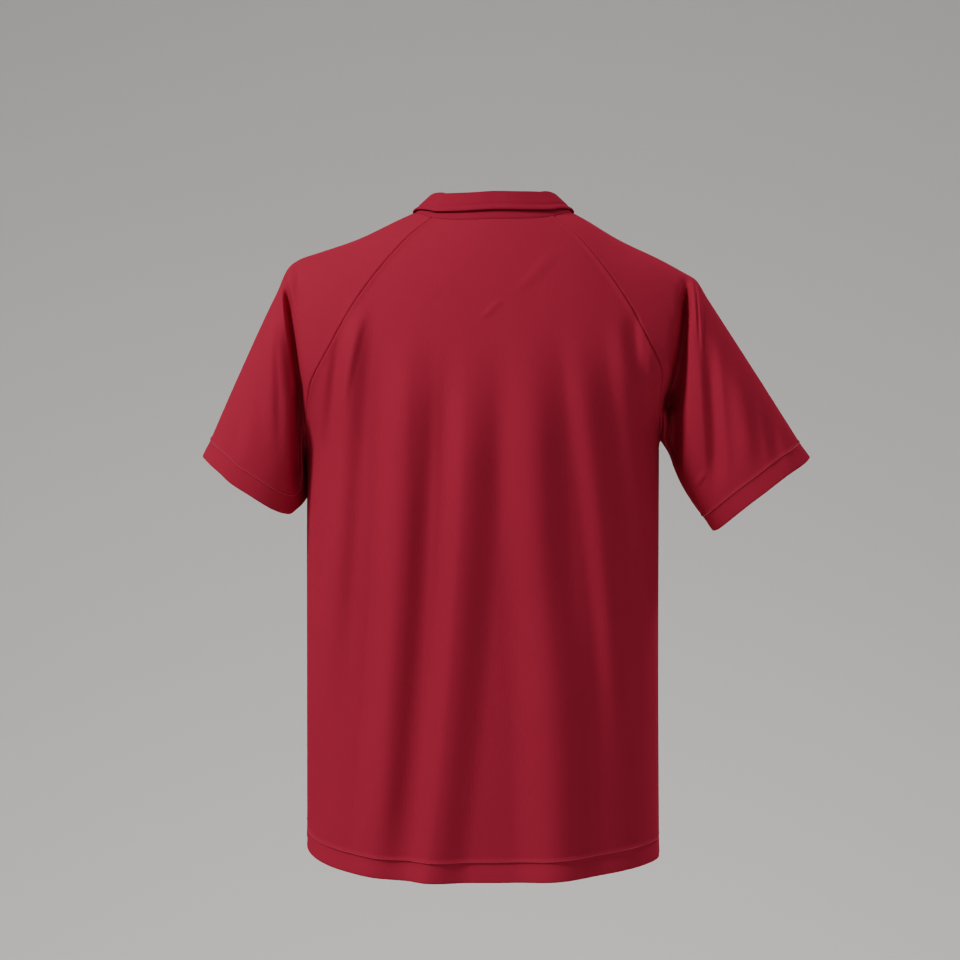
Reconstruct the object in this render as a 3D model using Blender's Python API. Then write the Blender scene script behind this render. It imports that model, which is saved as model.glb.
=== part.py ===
"""Football jersey: worn shape, hollow, in metres, +Z up.

The front faces -Y, the back +Y, and +X is the wearer's left. The origin is at the neck base, level with the
highest points of the shoulders, where the wearer holds the garment up.

The body form has two parts. The trunk is a stack of rounded sections from the armpits down to the hem. The yoke
goes on from the armpits over the shoulder ridge. Both are worked out from the tables below. The panels are cut
from that form along the raglan seams, and the sleeves are lofted from those seams through rings to the cuffs.
"""

import math
from collections import namedtuple

import bpy
import numpy as np

# Cloth, in metres
WALL = 0.0015  # thickness of the cloth wall
HEM_WALL = 0.0024  # thickness where the hem or cuff is turned up
HEM_BAND = 0.019  # height of the turned-up hem
CUFF_BAND = 0.020  # height of the turned-up cuff
GAP = 0.0003  # space between two pieces at a seam

# Body form
RING_POWER = 2.4  # roundness of a section across the body
BACK_POWER = 2.2  # roundness from the shoulder blades over the shoulder
FRONT_POWER = 1.8  # roundness from the chest over the shoulder
BACK_DEPTH = 0.110  # middle line to the shoulder blades
FRONT_DEPTH = 0.125  # middle line to the chest
ARMPIT_HEIGHT = -0.2535  # underarm level at the middle line
ARMPIT_TILT = -0.046  # how the underarm level falls towards the wearer's left
HEM_SIDE_HEIGHT = -0.6655  # hem at the side seams, on average
HEM_TILT = 0.049  # the hem hangs lower on the wearer's right
HEM_BACK_HEIGHT = -0.689
HEM_FRONT_HEIGHT = -0.681
HEM_SWEEP_LEFT = 0.9  # above 1 the hem rises early towards the side seam
HEM_SWEEP_RIGHT = 1.9

# Neck
NECK_HALF_WIDTH = 0.0825  # neck seam, from the middle to the shoulder ridge
BACK_NECK_DROP = 0.0122
V_DEPTH = 0.092
V_CURVE = 1.15

Section = namedtuple("Section", "drop centre half_width back front")
TRUNK = (  # drop is the share of the way from the armpits to the hem
    Section(0.00, 0.0125, 0.1845, 0.110, 0.125),
    Section(0.15, 0.0128, 0.1845, 0.1094, 0.1242),
    Section(0.55, 0.0130, 0.1842, 0.104, 0.115),
    Section(1.00, 0.0125, 0.1845, 0.107, 0.113),
)

Level = namedtuple("Level", "rise centre half_width")
YOKE = (  # rise is the share of the way from the armpits to the shoulder ridge
    Level(0.000, 0.0125, 0.1845),
    Level(0.060, 0.0127, 0.1850),
    Level(0.130, 0.0130, 0.1880),
    Level(0.266, 0.0118, 0.2000),
    Level(0.430, 0.0075, 0.2220),
    Level(0.665, 0.0050, 0.2350),
    Level(1.000, 0.0015, 0.2450),
)

Ridge = namedtuple("Ridge", "across height")
SHOULDER_RIDGE = (  # the top of the shoulders, from the wearer's right to the left
    Ridge(-0.2090, -0.0690),
    Ridge(-0.1750, -0.0505),
    Ridge(-0.1320, -0.0300),
    Ridge(-0.0810, -0.0005),
    Ridge(-0.0400, 0.0140),
    Ridge(0.0000, 0.0190),
    Ridge(0.0400, 0.0140),
    Ridge(0.0840, -0.0005),
    Ridge(0.1480, -0.0300),
    Ridge(0.1830, -0.0425),
    Ridge(0.2150, -0.0540),
)

Seam = namedtuple("Seam", "across rise")
BACK_RAGLAN = (  # from the armpit up to the neck seam
    Seam(0.1845, 0.000),
    Seam(0.1840, 0.100),
    Seam(0.1832, 0.200),
    Seam(0.1825, 0.296),
    Seam(0.1795, 0.390),
    Seam(0.1650, 0.513),
    Seam(0.1440, 0.672),
    Seam(0.1190, 0.795),
    Seam(0.0890, 0.890),
    Seam(0.0635, 0.938),
)
FRONT_RAGLAN = (
    Seam(0.1845, 0.000),
    Seam(0.1815, 0.100),
    Seam(0.1770, 0.210),
    Seam(0.1680, 0.330),
    Seam(0.1540, 0.470),
    Seam(0.1360, 0.600),
    Seam(0.1140, 0.720),
    Seam(0.0880, 0.830),
    Seam(0.0620, 0.925),
)

Ring = namedtuple("Ring", "top_across top_height under_across under_height middle back front tilt skew")
LEFT_RINGS = (  # sleeve sections from the shoulder point to the cuff
    Ring(0.2060, -0.0510, 0.2020, -0.2650, 0.000, 0.058, -0.060, 0.00, 0.00),
    Ring(0.2165, -0.0585, 0.2030, -0.2690, 0.000, 0.057, -0.056, 0.00, 0.00),
    Ring(0.2285, -0.0850, 0.2030, -0.2770, -0.002, 0.065, -0.066, 0.05, 0.02),
    Ring(0.2690, -0.1685, 0.2025, -0.2920, -0.006, 0.067, -0.068, 0.17, 0.06),
    Ring(0.3080, -0.2570, 0.2010, -0.3080, -0.010, 0.066, -0.068, 0.25, 0.10),
)
RIGHT_RINGS = (
    Ring(-0.2020, -0.0620, -0.1790, -0.2465, 0.000, 0.058, -0.060, 0.00, 0.00),
    Ring(-0.2105, -0.0705, -0.1835, -0.2540, 0.000, 0.060, -0.060, 0.00, 0.00),
    Ring(-0.2230, -0.0900, -0.1890, -0.2690, 0.000, 0.064, -0.066, 0.01, 0.00),
    Ring(-0.2765, -0.1730, -0.2060, -0.3020, 0.000, 0.064, -0.066, 0.01, 0.00),
    Ring(-0.3300, -0.2575, -0.2305, -0.3345, 0.000, 0.062, -0.064, 0.00, 0.00),
)
SLEEVE_POWER = 2.25  # roundness of a sleeve section
EASE = 0.30  # how far each row of a sleeve moves between its neighbours, near the opening
EASE_TURNS = 2
TOP_LEVEL = 0.978  # level on the rings, from 0 to 1, of the lines that start where the seams meet the neck

FOLD_FADE = 0.035  # distance from the side over which a fold grows to its full height

Fold = namedtuple("Fold", "top_x top_z foot_x foot_z left right rise start stop")
# A fold runs straight from its top to its foot. Left and right are its widths on either side of that line,
# towards the wearer's left and right. Rise is its height out of the cloth, or its depth when negative.
# Start and stop are the lengths over which it grows in at the top and dies out at the foot.
BACK_FOLDS = (
    Fold(0.150, -0.080, 0.172, -0.640, 0.026, 0.026, 0.0055, 0.110, 0.100),
    Fold(0.093, -0.120, 0.131, -0.760, 0.030, 0.030, 0.0050, 0.150, 0.010),
    Fold(0.028, -0.140, 0.055, -0.760, 0.032, 0.030, 0.0045, 0.150, 0.010),
    Fold(-0.034, -0.120, -0.058, -0.760, 0.034, 0.044, 0.0080, 0.180, 0.010),
    Fold(-0.086, -0.130, -0.128, -0.700, 0.022, 0.028, 0.0045, 0.150, 0.120),
    Fold(-0.146, -0.120, -0.155, -0.660, 0.020, 0.022, 0.0040, 0.120, 0.120),
    # behind the arms
    Fold(0.2230, -0.055, 0.2070, -0.250, 0.026, 0.020, -0.020, 0.070, 0.100),
    Fold(-0.2060, -0.055, -0.1930, -0.262, 0.022, 0.020, -0.022, 0.080, 0.080),
)
FRONT_FOLDS = (
    Fold(0.140, -0.130, 0.160, -0.760, 0.034, 0.030, 0.0060, 0.160, 0.010),
    Fold(0.070, -0.240, 0.092, -0.760, 0.036, 0.032, 0.0055, 0.200, 0.010),
    Fold(0.004, -0.300, -0.006, -0.760, 0.040, 0.036, 0.0045, 0.200, 0.010),
    Fold(-0.070, -0.220, -0.086, -0.760, 0.032, 0.038, 0.0060, 0.200, 0.010),
    Fold(-0.138, -0.150, -0.146, -0.760, 0.030, 0.026, 0.0055, 0.150, 0.010),
    # before the arms
    Fold(0.2190, -0.070, 0.2060, -0.250, 0.024, 0.022, -0.014, 0.070, 0.100),
    Fold(-0.2040, -0.080, -0.1930, -0.262, 0.022, 0.020, -0.014, 0.070, 0.080),
)

Collar = namedtuple("Collar", "share height lean reach")
# Share is the place on the neck seam, 0 at the centre back and 1 at the point of the V. Height is that of the
# neckband along the cloth, lean its inward slope, and reach how far the leaf's edge lies past the neck seam.
COLLAR = (
    Collar(0.000, 0.0283, 0.42, -0.0100),
    Collar(0.050, 0.0283, 0.43, -0.0100),
    Collar(0.240, 0.0284, 0.75, -0.0070),
    Collar(0.405, 0.0214, 1.12, 0.0005),
    Collar(0.610, 0.0165, 0.75, 0.0140),
    Collar(1.000, 0.0085, 0.40, 0.0370),
)
ROLL_RADIUS = 0.0024  # outer radius of the leaf's turn at the fold line
ROLL_RISE = 0.0008  # the leaf goes straight up this far before it turns
LEAF_LIFT = 0.0032  # outer face of the leaf above what lies under it
LEAF_SPRING = 0.0010  # the leaf stands off a little more where it crosses the neck seam
LEAF_SLIDE = 0.0070  # how far the crossing moves along the seam at the point of the V

# Mesh density
BACK_COLUMNS = 36
FRONT_COLUMNS = 28
TRUNK_ROWS = 11
YOKE_ROWS = 14
ROW_CROWDING = 1.2  # above 1 the rows crowd towards the armpits
NECK_COLUMNS = 4  # where a sleeve meets the neck
BODY_STEPS = 3  # rings of a sleeve from the raglan seams to the shoulder point
HOLLOW_STEPS = 5  # and on over the hollow behind the arm
ARM_STEPS = 5  # and on to the cuff
ROLL_STEPS = 3  # turns of the collar's fold
LEAF_STEPS = 5  # from the collar's fold to its edge
SAMPLES = 400  # points along a row before it is divided evenly

RED = (0.270, 0.020, 0.035)
COLLAR_RED = (0.235, 0.018, 0.030)


def column(table, name):
    """One named column of a table."""
    return np.array([getattr(row, name) for row in table])


def through(keys, values, at):
    """A smooth curve through the values at rising keys, read at the places given."""
    keys = np.asarray(keys, float)
    values = np.asarray(values, float)
    slopes = np.gradient(values, keys, axis=0)
    at = np.clip(at, keys[0], keys[-1])
    i = np.clip(np.searchsorted(keys, at, side="right") - 1, 0, len(keys) - 2)
    step = keys[i + 1] - keys[i]
    f = (at - keys[i]) / step
    if values.ndim > 1:
        f = f[..., None]
        step = step[..., None]
    rise = 3 * f**2 - 2 * f**3
    ease_out = f * (1 - f) ** 2
    ease_in = f**2 * (f - 1)
    return (
        values[i] * (1 - rise)
        + values[i + 1] * rise
        + step * (slopes[i] * ease_out + slopes[i + 1] * ease_in)
    )


def soft_step(value):
    """0 below 0, 1 above 1 and a smooth ramp between."""
    f = np.clip(value, 0.0, 1.0)
    return f * f * (3 - 2 * f)


def ridge_height(x):
    """Height of the shoulder ridge."""
    return through(column(SHOULDER_RIDGE, "across"), column(SHOULDER_RIDGE, "height"), x)


def armpit_height(x):
    return ARMPIT_HEIGHT + ARMPIT_TILT * x


def rounded(share, power):
    """Height of a rounded arch, from 1 at share 0 down to 0 at share 1."""
    return np.clip(1 - np.abs(share) ** power, 0, 1) ** (1 / power)


def yoke_point(across, rise, face):
    """Points of the form above the armpits. Face is 1 at the back and -1 at the front."""
    rise = np.asarray(rise, float)
    half = through(column(YOKE, "rise"), column(YOKE, "half_width"), rise)
    x = through(column(YOKE, "rise"), column(YOKE, "centre"), rise) + across
    low = armpit_height(x)
    z = low + (ridge_height(x) - low) * rise
    depth = BACK_DEPTH if face > 0 else FRONT_DEPTH
    power = BACK_POWER if face > 0 else FRONT_POWER
    y = face * depth * rounded(rise, power) * rounded(across / half, RING_POWER)
    return np.stack([x, y, z], -1)


def trunk_point(share, drop, face):
    """Points of the form below the armpits. Share runs from -1 to 1 across it."""
    share = np.asarray(share, float)
    drops = column(TRUNK, "drop")
    half = through(drops, column(TRUNK, "half_width"), drop)
    x = through(drops, column(TRUNK, "centre"), drop) + half * share
    arch = rounded(share, RING_POWER)
    y = face * through(drops, column(TRUNK, "back" if face > 0 else "front"), drop) * arch
    side = HEM_SIDE_HEIGHT + HEM_TILT * x
    middle = HEM_BACK_HEIGHT if face > 0 else HEM_FRONT_HEIGHT
    sweep = np.where(share > 0, HEM_SWEEP_LEFT, HEM_SWEEP_RIGHT)
    hem = side + (middle - side) * arch**sweep
    low = armpit_height(x)
    return np.stack([x, y, low + (hem - low) * drop], -1)


def folded(points, face):
    """Moves the points of one face in and out along its folds, which fade towards the sides."""
    x, y, z = points[..., 0], points[..., 1], points[..., 2]
    lift = np.zeros_like(x)
    for fold in BACK_FOLDS if face > 0 else FRONT_FOLDS:
        share = (z - fold.top_z) / (fold.foot_z - fold.top_z)
        off = x - (fold.top_x + (fold.foot_x - fold.top_x) * share)
        width = np.where(off > 0, fold.left, fold.right)
        bump = 0.5 + 0.5 * np.cos(math.pi * np.clip(off / width, -1, 1))
        grow = soft_step((fold.top_z - z) / fold.start)
        fade = soft_step((z - fold.foot_z) / fold.stop)
        lift += fold.rise * bump * grow * fade
    on_face = soft_step(face * y / FOLD_FADE)
    moved = points.copy()
    moved[..., 1] = y + face * lift * on_face
    return moved


def evenly(points, parts):
    """Divides a line of points into parts of equal length."""
    run = np.append(0, np.cumsum(np.linalg.norm(np.diff(points, axis=0), axis=1)))
    at = np.linspace(0, run[-1], parts + 1)
    return np.stack([np.interp(at, run, points[:, k]) for k in range(3)], 1)


def share_of(across, rise):
    half = through(column(YOKE, "rise"), column(YOKE, "half_width"), rise)
    return np.clip(across / half, -1, 1)


def neck_dip(face):
    """How far the neck edge lies below the raglan ends, as a share of the rise at those ends."""
    depth = BACK_NECK_DROP if face > 0 else V_DEPTH
    end = (BACK_RAGLAN if face > 0 else FRONT_RAGLAN)[-1].rise
    low = armpit_height(0.0)
    return 1 - (-depth - low) / (ridge_height(0.0) - low) / end


def seam_at(climb, face):
    """Distance from the middle line, and rise, on a raglan seam. Climb is 0 at the armpit and 1 at the neck."""
    table = BACK_RAGLAN if face > 0 else FRONT_RAGLAN
    keys = np.linspace(0, 1, len(table))
    return through(keys, column(table, "across"), climb), through(keys, column(table, "rise"), climb)


def seam_climbs(face):
    """Places of the rows along a raglan seam, closer together near the armpit."""
    climbs = np.linspace(0, 1, SAMPLES + 1)
    line = yoke_point(*seam_at(climbs, face), face)
    run = np.append(0, np.cumsum(np.linalg.norm(np.diff(line, axis=0), axis=1)))
    return np.interp(run[-1] * np.linspace(0, 1, YOKE_ROWS + 1) ** ROW_CROWDING, run, climbs)


def yoke_row(climb, face):
    """A row of the panel from raglan seam to raglan seam. Climb is 0 at the armpits and 1 at the neck."""
    across, rise = seam_at(climb, face)
    turn = math.asin(float(share_of(across, rise)) ** (RING_POWER / 2))
    t = np.linspace(-1, 1, SAMPLES + 1)
    lean = np.abs(np.sin(t * turn)) ** (2 / RING_POWER) / math.sin(turn) ** (2 / RING_POWER)
    shape = 1 - t**2 if face > 0 else np.clip(1 - lean, 0, 1) ** V_CURVE
    row_rise = rise * (1 - neck_dip(face) * climb * shape)
    return yoke_point(np.sign(t) * lean * across, row_rise, face)


def trunk_row(drop, face):
    t = np.linspace(-1, 1, SAMPLES + 1)
    share = np.sign(t) * np.abs(np.sin(t * math.pi / 2)) ** (2 / RING_POWER)
    return trunk_point(share, drop, face)


def panel_grid(face, columns):
    """Outer points of the back or front panel, row by row from the hem to the neck."""
    length = armpit_height(0) - HEM_SIDE_HEIGHT
    drops = np.append(1.0, np.linspace(1 - HEM_BAND / length, 0, TRUNK_ROWS))
    rows = [evenly(trunk_row(drop, face), columns) for drop in drops]
    for climb in seam_climbs(face)[1:]:
        rows.append(evenly(yoke_row(climb, face), columns))
    return np.array(rows)


def neck_edge(side):
    """Where a sleeve meets the neck, from its back raglan seam to its front one, without the ends."""
    across, lean = opening_of(side)
    count = NECK_COLUMNS - 1
    return form_points(across[-count:], lean[-count:])[::-1]


def ring_points(ring, turns):
    """A sleeve ring. Turn 0 is its top, and it goes round by the back."""
    top = np.array([ring.top_across, 0, ring.top_height])
    under = np.array([ring.under_across, 0, ring.under_height])
    along = np.sign(np.cos(turns)) * np.abs(np.cos(turns)) ** (2 / SLEEVE_POWER)
    out = np.abs(np.sin(turns)) ** (2 / SLEEVE_POWER)
    depth = np.where(np.sin(turns) > 0, ring.back, ring.front)
    points = (top + under) / 2 + np.outer(along, (top - under) / 2)
    points[:, 1] = out * depth
    points[:, 2] -= ring.tilt * points[:, 1]
    points[:, 0] += ring.skew * points[:, 1]
    points[:, 1] += ring.middle
    return points


def opening_of(side):
    """The sleeve's opening in the form's own terms: from the back neck down the back seam, up the front seam
    and over the shoulder. Across is the distance from the middle line, and lean is the angle from the ridge."""
    climbs = seam_climbs(1)[::-1]
    back = seam_at(climbs, 1)
    climbs = seam_climbs(-1)[1:]
    front = seam_at(climbs, -1)
    s = np.linspace(-1, 1, NECK_COLUMNS + 1)[1:-1]
    end_across = np.where(s > 0, BACK_RAGLAN[-1].across, FRONT_RAGLAN[-1].across)
    end_lean = np.where(s > 0, math.acos(BACK_RAGLAN[-1].rise), math.acos(FRONT_RAGLAN[-1].rise))
    neck_across = NECK_HALF_WIDTH + (end_across - NECK_HALF_WIDTH) * s * s
    across = np.concatenate([back[0], front[0], neck_across])
    lean = np.concatenate([np.arccos(back[1]), -np.arccos(front[1]), s * end_lean])
    return side * across, lean


def form_points(across, lean):
    """Points of the yoke for signed lean angles, positive at the back."""
    back = yoke_point(across, np.cos(lean), 1)
    front = yoke_point(across, np.cos(lean), -1)
    return np.where((lean >= 0)[:, None], back, front)


def form_place(points, at_back):
    """The other way round: the distance from the middle line, and the lean, of points on the form."""
    x, z = points[:, 0], points[:, 2]
    low = armpit_height(x)
    rise = np.clip((z - low) / (ridge_height(x) - low), 0, 1)
    across = x - through(column(YOKE, "rise"), column(YOKE, "centre"), rise)
    return across, np.where(at_back, 1, -1) * np.arccos(rise)


def form_normals(across, lean):
    """Outward unit normals of the yoke."""
    step_across, step_lean = 0.002, 0.02
    along = form_points(across + step_across, lean) - form_points(across - step_across, lean)
    over = form_points(across, lean + step_lean) - form_points(across, lean - step_lean)
    return unit(np.cross(along, over))


def unit(vectors):
    return vectors / np.linalg.norm(vectors, axis=-1, keepdims=True)


def opening_turns(points, ring):
    """Turn on the sleeve's rings of each point of the opening, mostly the one at the same height."""
    low = points[YOKE_ROWS, 2]
    turns = []
    for line in (points[:YOKE_ROWS], points[YOKE_ROWS : 2 * YOKE_ROWS + 1]):
        top = points[0 if len(turns) == 0 else 2 * YOKE_ROWS, 2]
        share = (line[:, 2] - low) / (top - low)
        match = (top - low) / (ring.top_height - ring.under_height)
        level = 2 * share * (match - (match - TOP_LEVEL) * share**3) - 1
        turn = np.arccos(np.sign(level) * np.abs(level) ** (SLEEVE_POWER / 2))
        turns.extend(2 * math.pi - turn if len(turns) else turn)
    corner = math.acos((2 * TOP_LEVEL - 1) ** (SLEEVE_POWER / 2))
    for s in np.linspace(-1, 1, NECK_COLUMNS + 1)[1:-1]:
        turns.append(2 * math.pi + corner * s)
    return np.array(turns)


def sleeve_grid(side):
    """Outer points of a sleeve, from its opening to its cuff, each ring round from the back neck."""
    across, lean = opening_of(side)
    opening = form_points(across, lean)
    rings = list(LEFT_RINGS if side > 0 else RIGHT_RINGS)
    rings[0] = rings[0]._replace(top_height=float(ridge_height(rings[0].top_across)))
    turns = opening_turns(opening, rings[0])
    stations = np.array([opening] + [ring_points(ring, turns) for ring in rings])
    # The first ring lies on the body form, apart from its lower end.
    first = stations[1]
    edge_across, edge_lean = form_place(first, np.sin(turns) >= 0)
    on_form = soft_step((np.cos(lean) - 0.10) / 0.30)[:, None]
    stations[1] = first * (1 - on_form) + form_points(edge_across, edge_lean) * on_form
    gaps = np.linalg.norm(np.diff(stations, axis=0), axis=2).mean(axis=1)
    keys = np.append(0, np.cumsum(gaps))
    slopes = np.gradient(stations, keys, axis=0)
    chord = stations[1] - stations[0]
    length = np.linalg.norm(chord, axis=1)[:, None]
    out = np.array([side, 0.0, -0.15])
    slopes[0] = (chord * on_form + out * length * (1 - on_form)) / gaps[0]
    at = np.concatenate(
        [
            np.linspace(0, keys[1], BODY_STEPS + 1)[:-1],
            np.linspace(keys[1], keys[3], HOLLOW_STEPS + 1)[:-1],
            np.linspace(keys[3], keys[-1] - CUFF_BAND, ARM_STEPS + 1),
            [keys[-1]],
        ]
    )
    rows = []
    for place in at:
        i = min(np.searchsorted(keys, place, side="right") - 1, len(keys) - 2)
        step = keys[i + 1] - keys[i]
        f = (place - keys[i]) / step
        blend = 3 * f**2 - 2 * f**3
        row = stations[i] * (1 - blend) + stations[i + 1] * blend
        row = row + step * (slopes[i] * f * (1 - f) ** 2 + slopes[i + 1] * f**2 * (f - 1))
        if i == 0:
            form = form_points(across + (edge_across - across) * f, lean + (edge_lean - lean) * f)
            row = row * (1 - on_form) + form * on_form
        rows.append(row)
    return eased(np.array(rows))


def eased(grid):
    """Evens out the rows next to a sleeve's opening, so that the cloth does not turn more sharply than its wall."""
    for _ in range(EASE_TURNS):
        between = (grid[:-2] + grid[2:]) / 2
        share = EASE * np.linspace(1, 0, len(between))[:, None, None]
        grid[1:-1] = grid[1:-1] * (1 - share) + between * share
    return grid


def triangles_of(grid, closed):
    """Triangles of a grid of points. A panel's cells are cut along their shorter diagonals."""
    rows, columns = grid.shape[:2]
    faces = []
    for i in range(rows - 1):
        for j in range(columns if closed else columns - 1):
            k = (j + 1) % columns
            a, b = i * columns + j, i * columns + k
            c, d = a + columns, b + columns
            rising, falling = grid[i + 1, k] - grid[i, j], grid[i + 1, j] - grid[i, k]
            if not closed and math.hypot(*rising) < math.hypot(*falling):
                faces += [(a, b, d), (a, d, c)]
            else:
                faces += [(a, b, c), (b, d, c)]
    return faces


def place_key(point):
    return tuple(int(round(value * 1e5)) for value in point)


def shared_normals(grids, closed):
    """Outward normals of all the panels, the same on both sides of a seam."""
    sums = {}
    for name, grid in grids.items():
        points = grid.reshape(-1, 3)
        for face in triangles_of(grid, closed[name]):
            a, b, c = (points[k] for k in face)
            normal = np.cross(b - a, c - a)
            for k in face:
                key = place_key(points[k])
                sums[key] = sums.get(key, 0) + normal
    found = {}
    for name, grid in grids.items():
        flat = np.array([sums[place_key(point)] for point in grid.reshape(-1, 3)])
        found[name] = unit(flat).reshape(grid.shape)
    return found


def seam_shift(grid, closed, open_rows):
    """Moves the edges of a grid back by half a gap, apart from the free edges named in open_rows."""
    shift = np.zeros_like(grid)
    rows, columns = grid.shape[:2]
    for row, inner in ((0, 1), (rows - 1, rows - 2)):
        if row not in open_rows:
            along = np.gradient(grid[row], axis=0)
            shift[row] += inward(grid[inner] - grid[row], along)
    if not closed:
        for col, inner in ((0, 1), (columns - 1, columns - 2)):
            along = np.gradient(grid[:, col], axis=0)
            shift[:, col] += inward(grid[:, inner] - grid[:, col], along)
    return shift


def inward(lead, along):
    """Half a gap across the edge, in the direction of the lead."""
    along = unit(along)
    lead = lead - along * (lead * along).sum(1)[:, None]
    return unit(lead) * GAP / 2


def material(name, colour, roughness):
    made = bpy.data.materials.new(name)
    made.use_nodes = True
    shader = made.node_tree.nodes["Principled BSDF"]
    shader.inputs["Base Color"].default_value = (*colour, 1.0)
    shader.inputs["Roughness"].default_value = roughness
    shader.inputs["Metallic"].default_value = 0.0
    return made


def wall(name, grid, normals, shift, thickness, closed, finish):
    """A closed cloth wall from its outer points, one for each row's thickness, going inwards."""
    rows, columns = grid.shape[:2]
    outer = (grid + shift).reshape(-1, 3)
    inner = (grid + shift - normals * thickness[:, None, None]).reshape(-1, 3)
    count = len(outer)
    faces = triangles_of(grid, closed)
    faces = faces + [(a + count, c + count, b + count) for a, b, c in faces]
    first = list(range(columns))
    last = list(range((rows - 1) * columns, rows * columns))
    if closed:
        border = [first + first[:1], (last + last[:1])[::-1]]
    else:
        left = list(range(0, rows * columns, columns))
        right = list(range(columns - 1, rows * columns, columns))
        border = [first + right[1:] + last[::-1][1:] + left[::-1][1:]]
    for loop in border:
        for a, b in zip(loop, loop[1:]):
            # Both sides of a seam are cut along the same diagonal.
            if outer[a][2] < outer[b][2]:
                faces += [(b, a, b + count), (a, a + count, b + count)]
            else:
                faces += [(b, a, a + count), (b, a + count, b + count)]
    mesh = bpy.data.meshes.new(name)
    mesh.from_pydata(np.concatenate([outer, inner]).tolist(), [], faces)
    mesh.validate()
    piece = bpy.data.objects.new(name, mesh)
    bpy.context.scene.collection.objects.link(piece)
    mesh.materials.append(finish)
    mesh.shade_smooth()
    mesh.set_sharp_from_angle(angle=math.radians(50))
    return piece


def neck_line(back_grid, front_grid):
    """The neck seam, from the point of the V round by the wearer's right, the back and the left."""
    middle = FRONT_COLUMNS // 2
    right_front = front_grid[-1, : middle + 1][::-1]
    left_front = front_grid[-1, middle:][::-1]
    right_sleeve = neck_edge(-1)[::-1]
    left_sleeve = neck_edge(1)
    return np.concatenate([right_front, right_sleeve, back_grid[-1], left_sleeve, left_front])


def seam_run(line):
    """Distance of each point of the neck line from the centre back, along the seam, negative on the right."""
    run = np.append(0, np.cumsum(np.linalg.norm(np.diff(line, axis=0), axis=1)))
    return run - run[-1] / 2


def collar_column(line, name):
    """One column of the collar's table, read along the neck line."""
    run = seam_run(line)
    return through(column(COLLAR, "share"), column(COLLAR, name), np.abs(run) / run[-1])[:, None]


def stand_frame(line):
    """The neckband's own directions along the neck line: up the cloth, and out of it."""
    lean = collar_column(line, "lean")
    inwards = unit(-line * np.array([1.0, 1.0, 0.0]))
    up = unit(inwards * lean + np.array([0.0, 0.0, 1.0]))
    tangent = np.gradient(line + up * collar_column(line, "height"), axis=0)
    out = unit(np.cross(up, tangent))
    out[[0, -1]] = unit(out[0] + out[-1])
    return up, out


def stand_grid(line):
    """Outer points of the neckband, from the neck seam up to the fold line."""
    up, _ = stand_frame(line)
    height = collar_column(line, "height")
    return np.array([line + up * height * f for f in (0.0, 0.5, 1.0)])


def seam_crossing(line):
    """Where each line of the leaf crosses the neck seam. Towards the V the crossing slides up the seam."""
    run = seam_run(line)
    share = np.abs(run) / run[-1]
    slide = LEAF_SLIDE * soft_step((share - 0.55) / 0.45)
    at = np.sign(run) * (np.abs(run) - slide)
    return np.stack([np.interp(at, run, line[:, k]) for k in range(3)], 1)


def laid_points(crossing, reach, out):
    """Outer points of the leaf's edge over the body, at its reach past the neck seam."""
    middle = len(crossing) // 2
    at_back = crossing[:, 1] > 0
    normals = form_normals(*form_place(crossing, at_back))
    tangent = np.gradient(crossing, axis=0)
    aside = unit(np.cross(normals, tangent))
    if aside[middle, 1] < 0:
        aside = -aside
    edge = crossing + aside * reach
    across, lean = form_place(edge, at_back)
    low_down = soft_step((np.abs(lean) - 0.35) / 0.25)[:, None]
    edge = edge * (1 - low_down) + form_points(across, lean) * low_down
    edge_normals = form_normals(across, lean)
    return edge + unit(edge_normals * low_down + normals * (1 - low_down)) * LEAF_LIFT, unit(normals + out)


def leaf_grid(line):
    """Outer points of the collar's leaf, from the fold line out and down to its edge."""
    up, out = stand_frame(line)
    reach = collar_column(line, "reach")
    top = line + up * collar_column(line, "height")
    # Lengths straight up from a slanting edge, for each unit square to it
    climb = up / np.linalg.norm(np.cross(up, unit(np.gradient(top, axis=0))), axis=1)[:, None]
    centre = top + climb * (GAP + ROLL_RISE) + out * (ROLL_RADIUS - WALL)
    angles = np.linspace(0, math.pi, ROLL_STEPS + 1)
    rows = [top + climb * GAP - out * WALL]
    rows += [centre + ROLL_RADIUS * (climb * math.sin(a) - out * math.cos(a)) for a in angles]
    start = rows[-1]
    crossing = seam_crossing(line)
    laid, lifted = laid_points(crossing, reach, out)
    hung = line - up * reach + out * LEAF_LIFT
    past = soft_step(0.5 + reach / 0.010)
    edge = hung * (1 - past) + laid * past
    knee = crossing + lifted * (LEAF_LIFT + LEAF_SPRING)
    bent = soft_step(reach / 0.012)
    knee = knee * bent + (start + edge) / 2 * (1 - bent)
    first = np.linalg.norm(knee - start, axis=1)
    second = np.linalg.norm(edge - knee, axis=1)
    steps = np.linspace(0, 1, LEAF_STEPS + 1)[1:]
    below = np.zeros((LEAF_STEPS, len(line), 3))
    for j in range(len(line)):
        keys = (0, first[j], first[j] + second[j])
        below[:, j] = through(keys, (start[j], knee[j], edge[j]), steps * keys[-1])
    return np.concatenate([rows, below])


def clear_scene():
    for thing in list(bpy.data.objects):
        bpy.data.objects.remove(thing, do_unlink=True)


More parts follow.
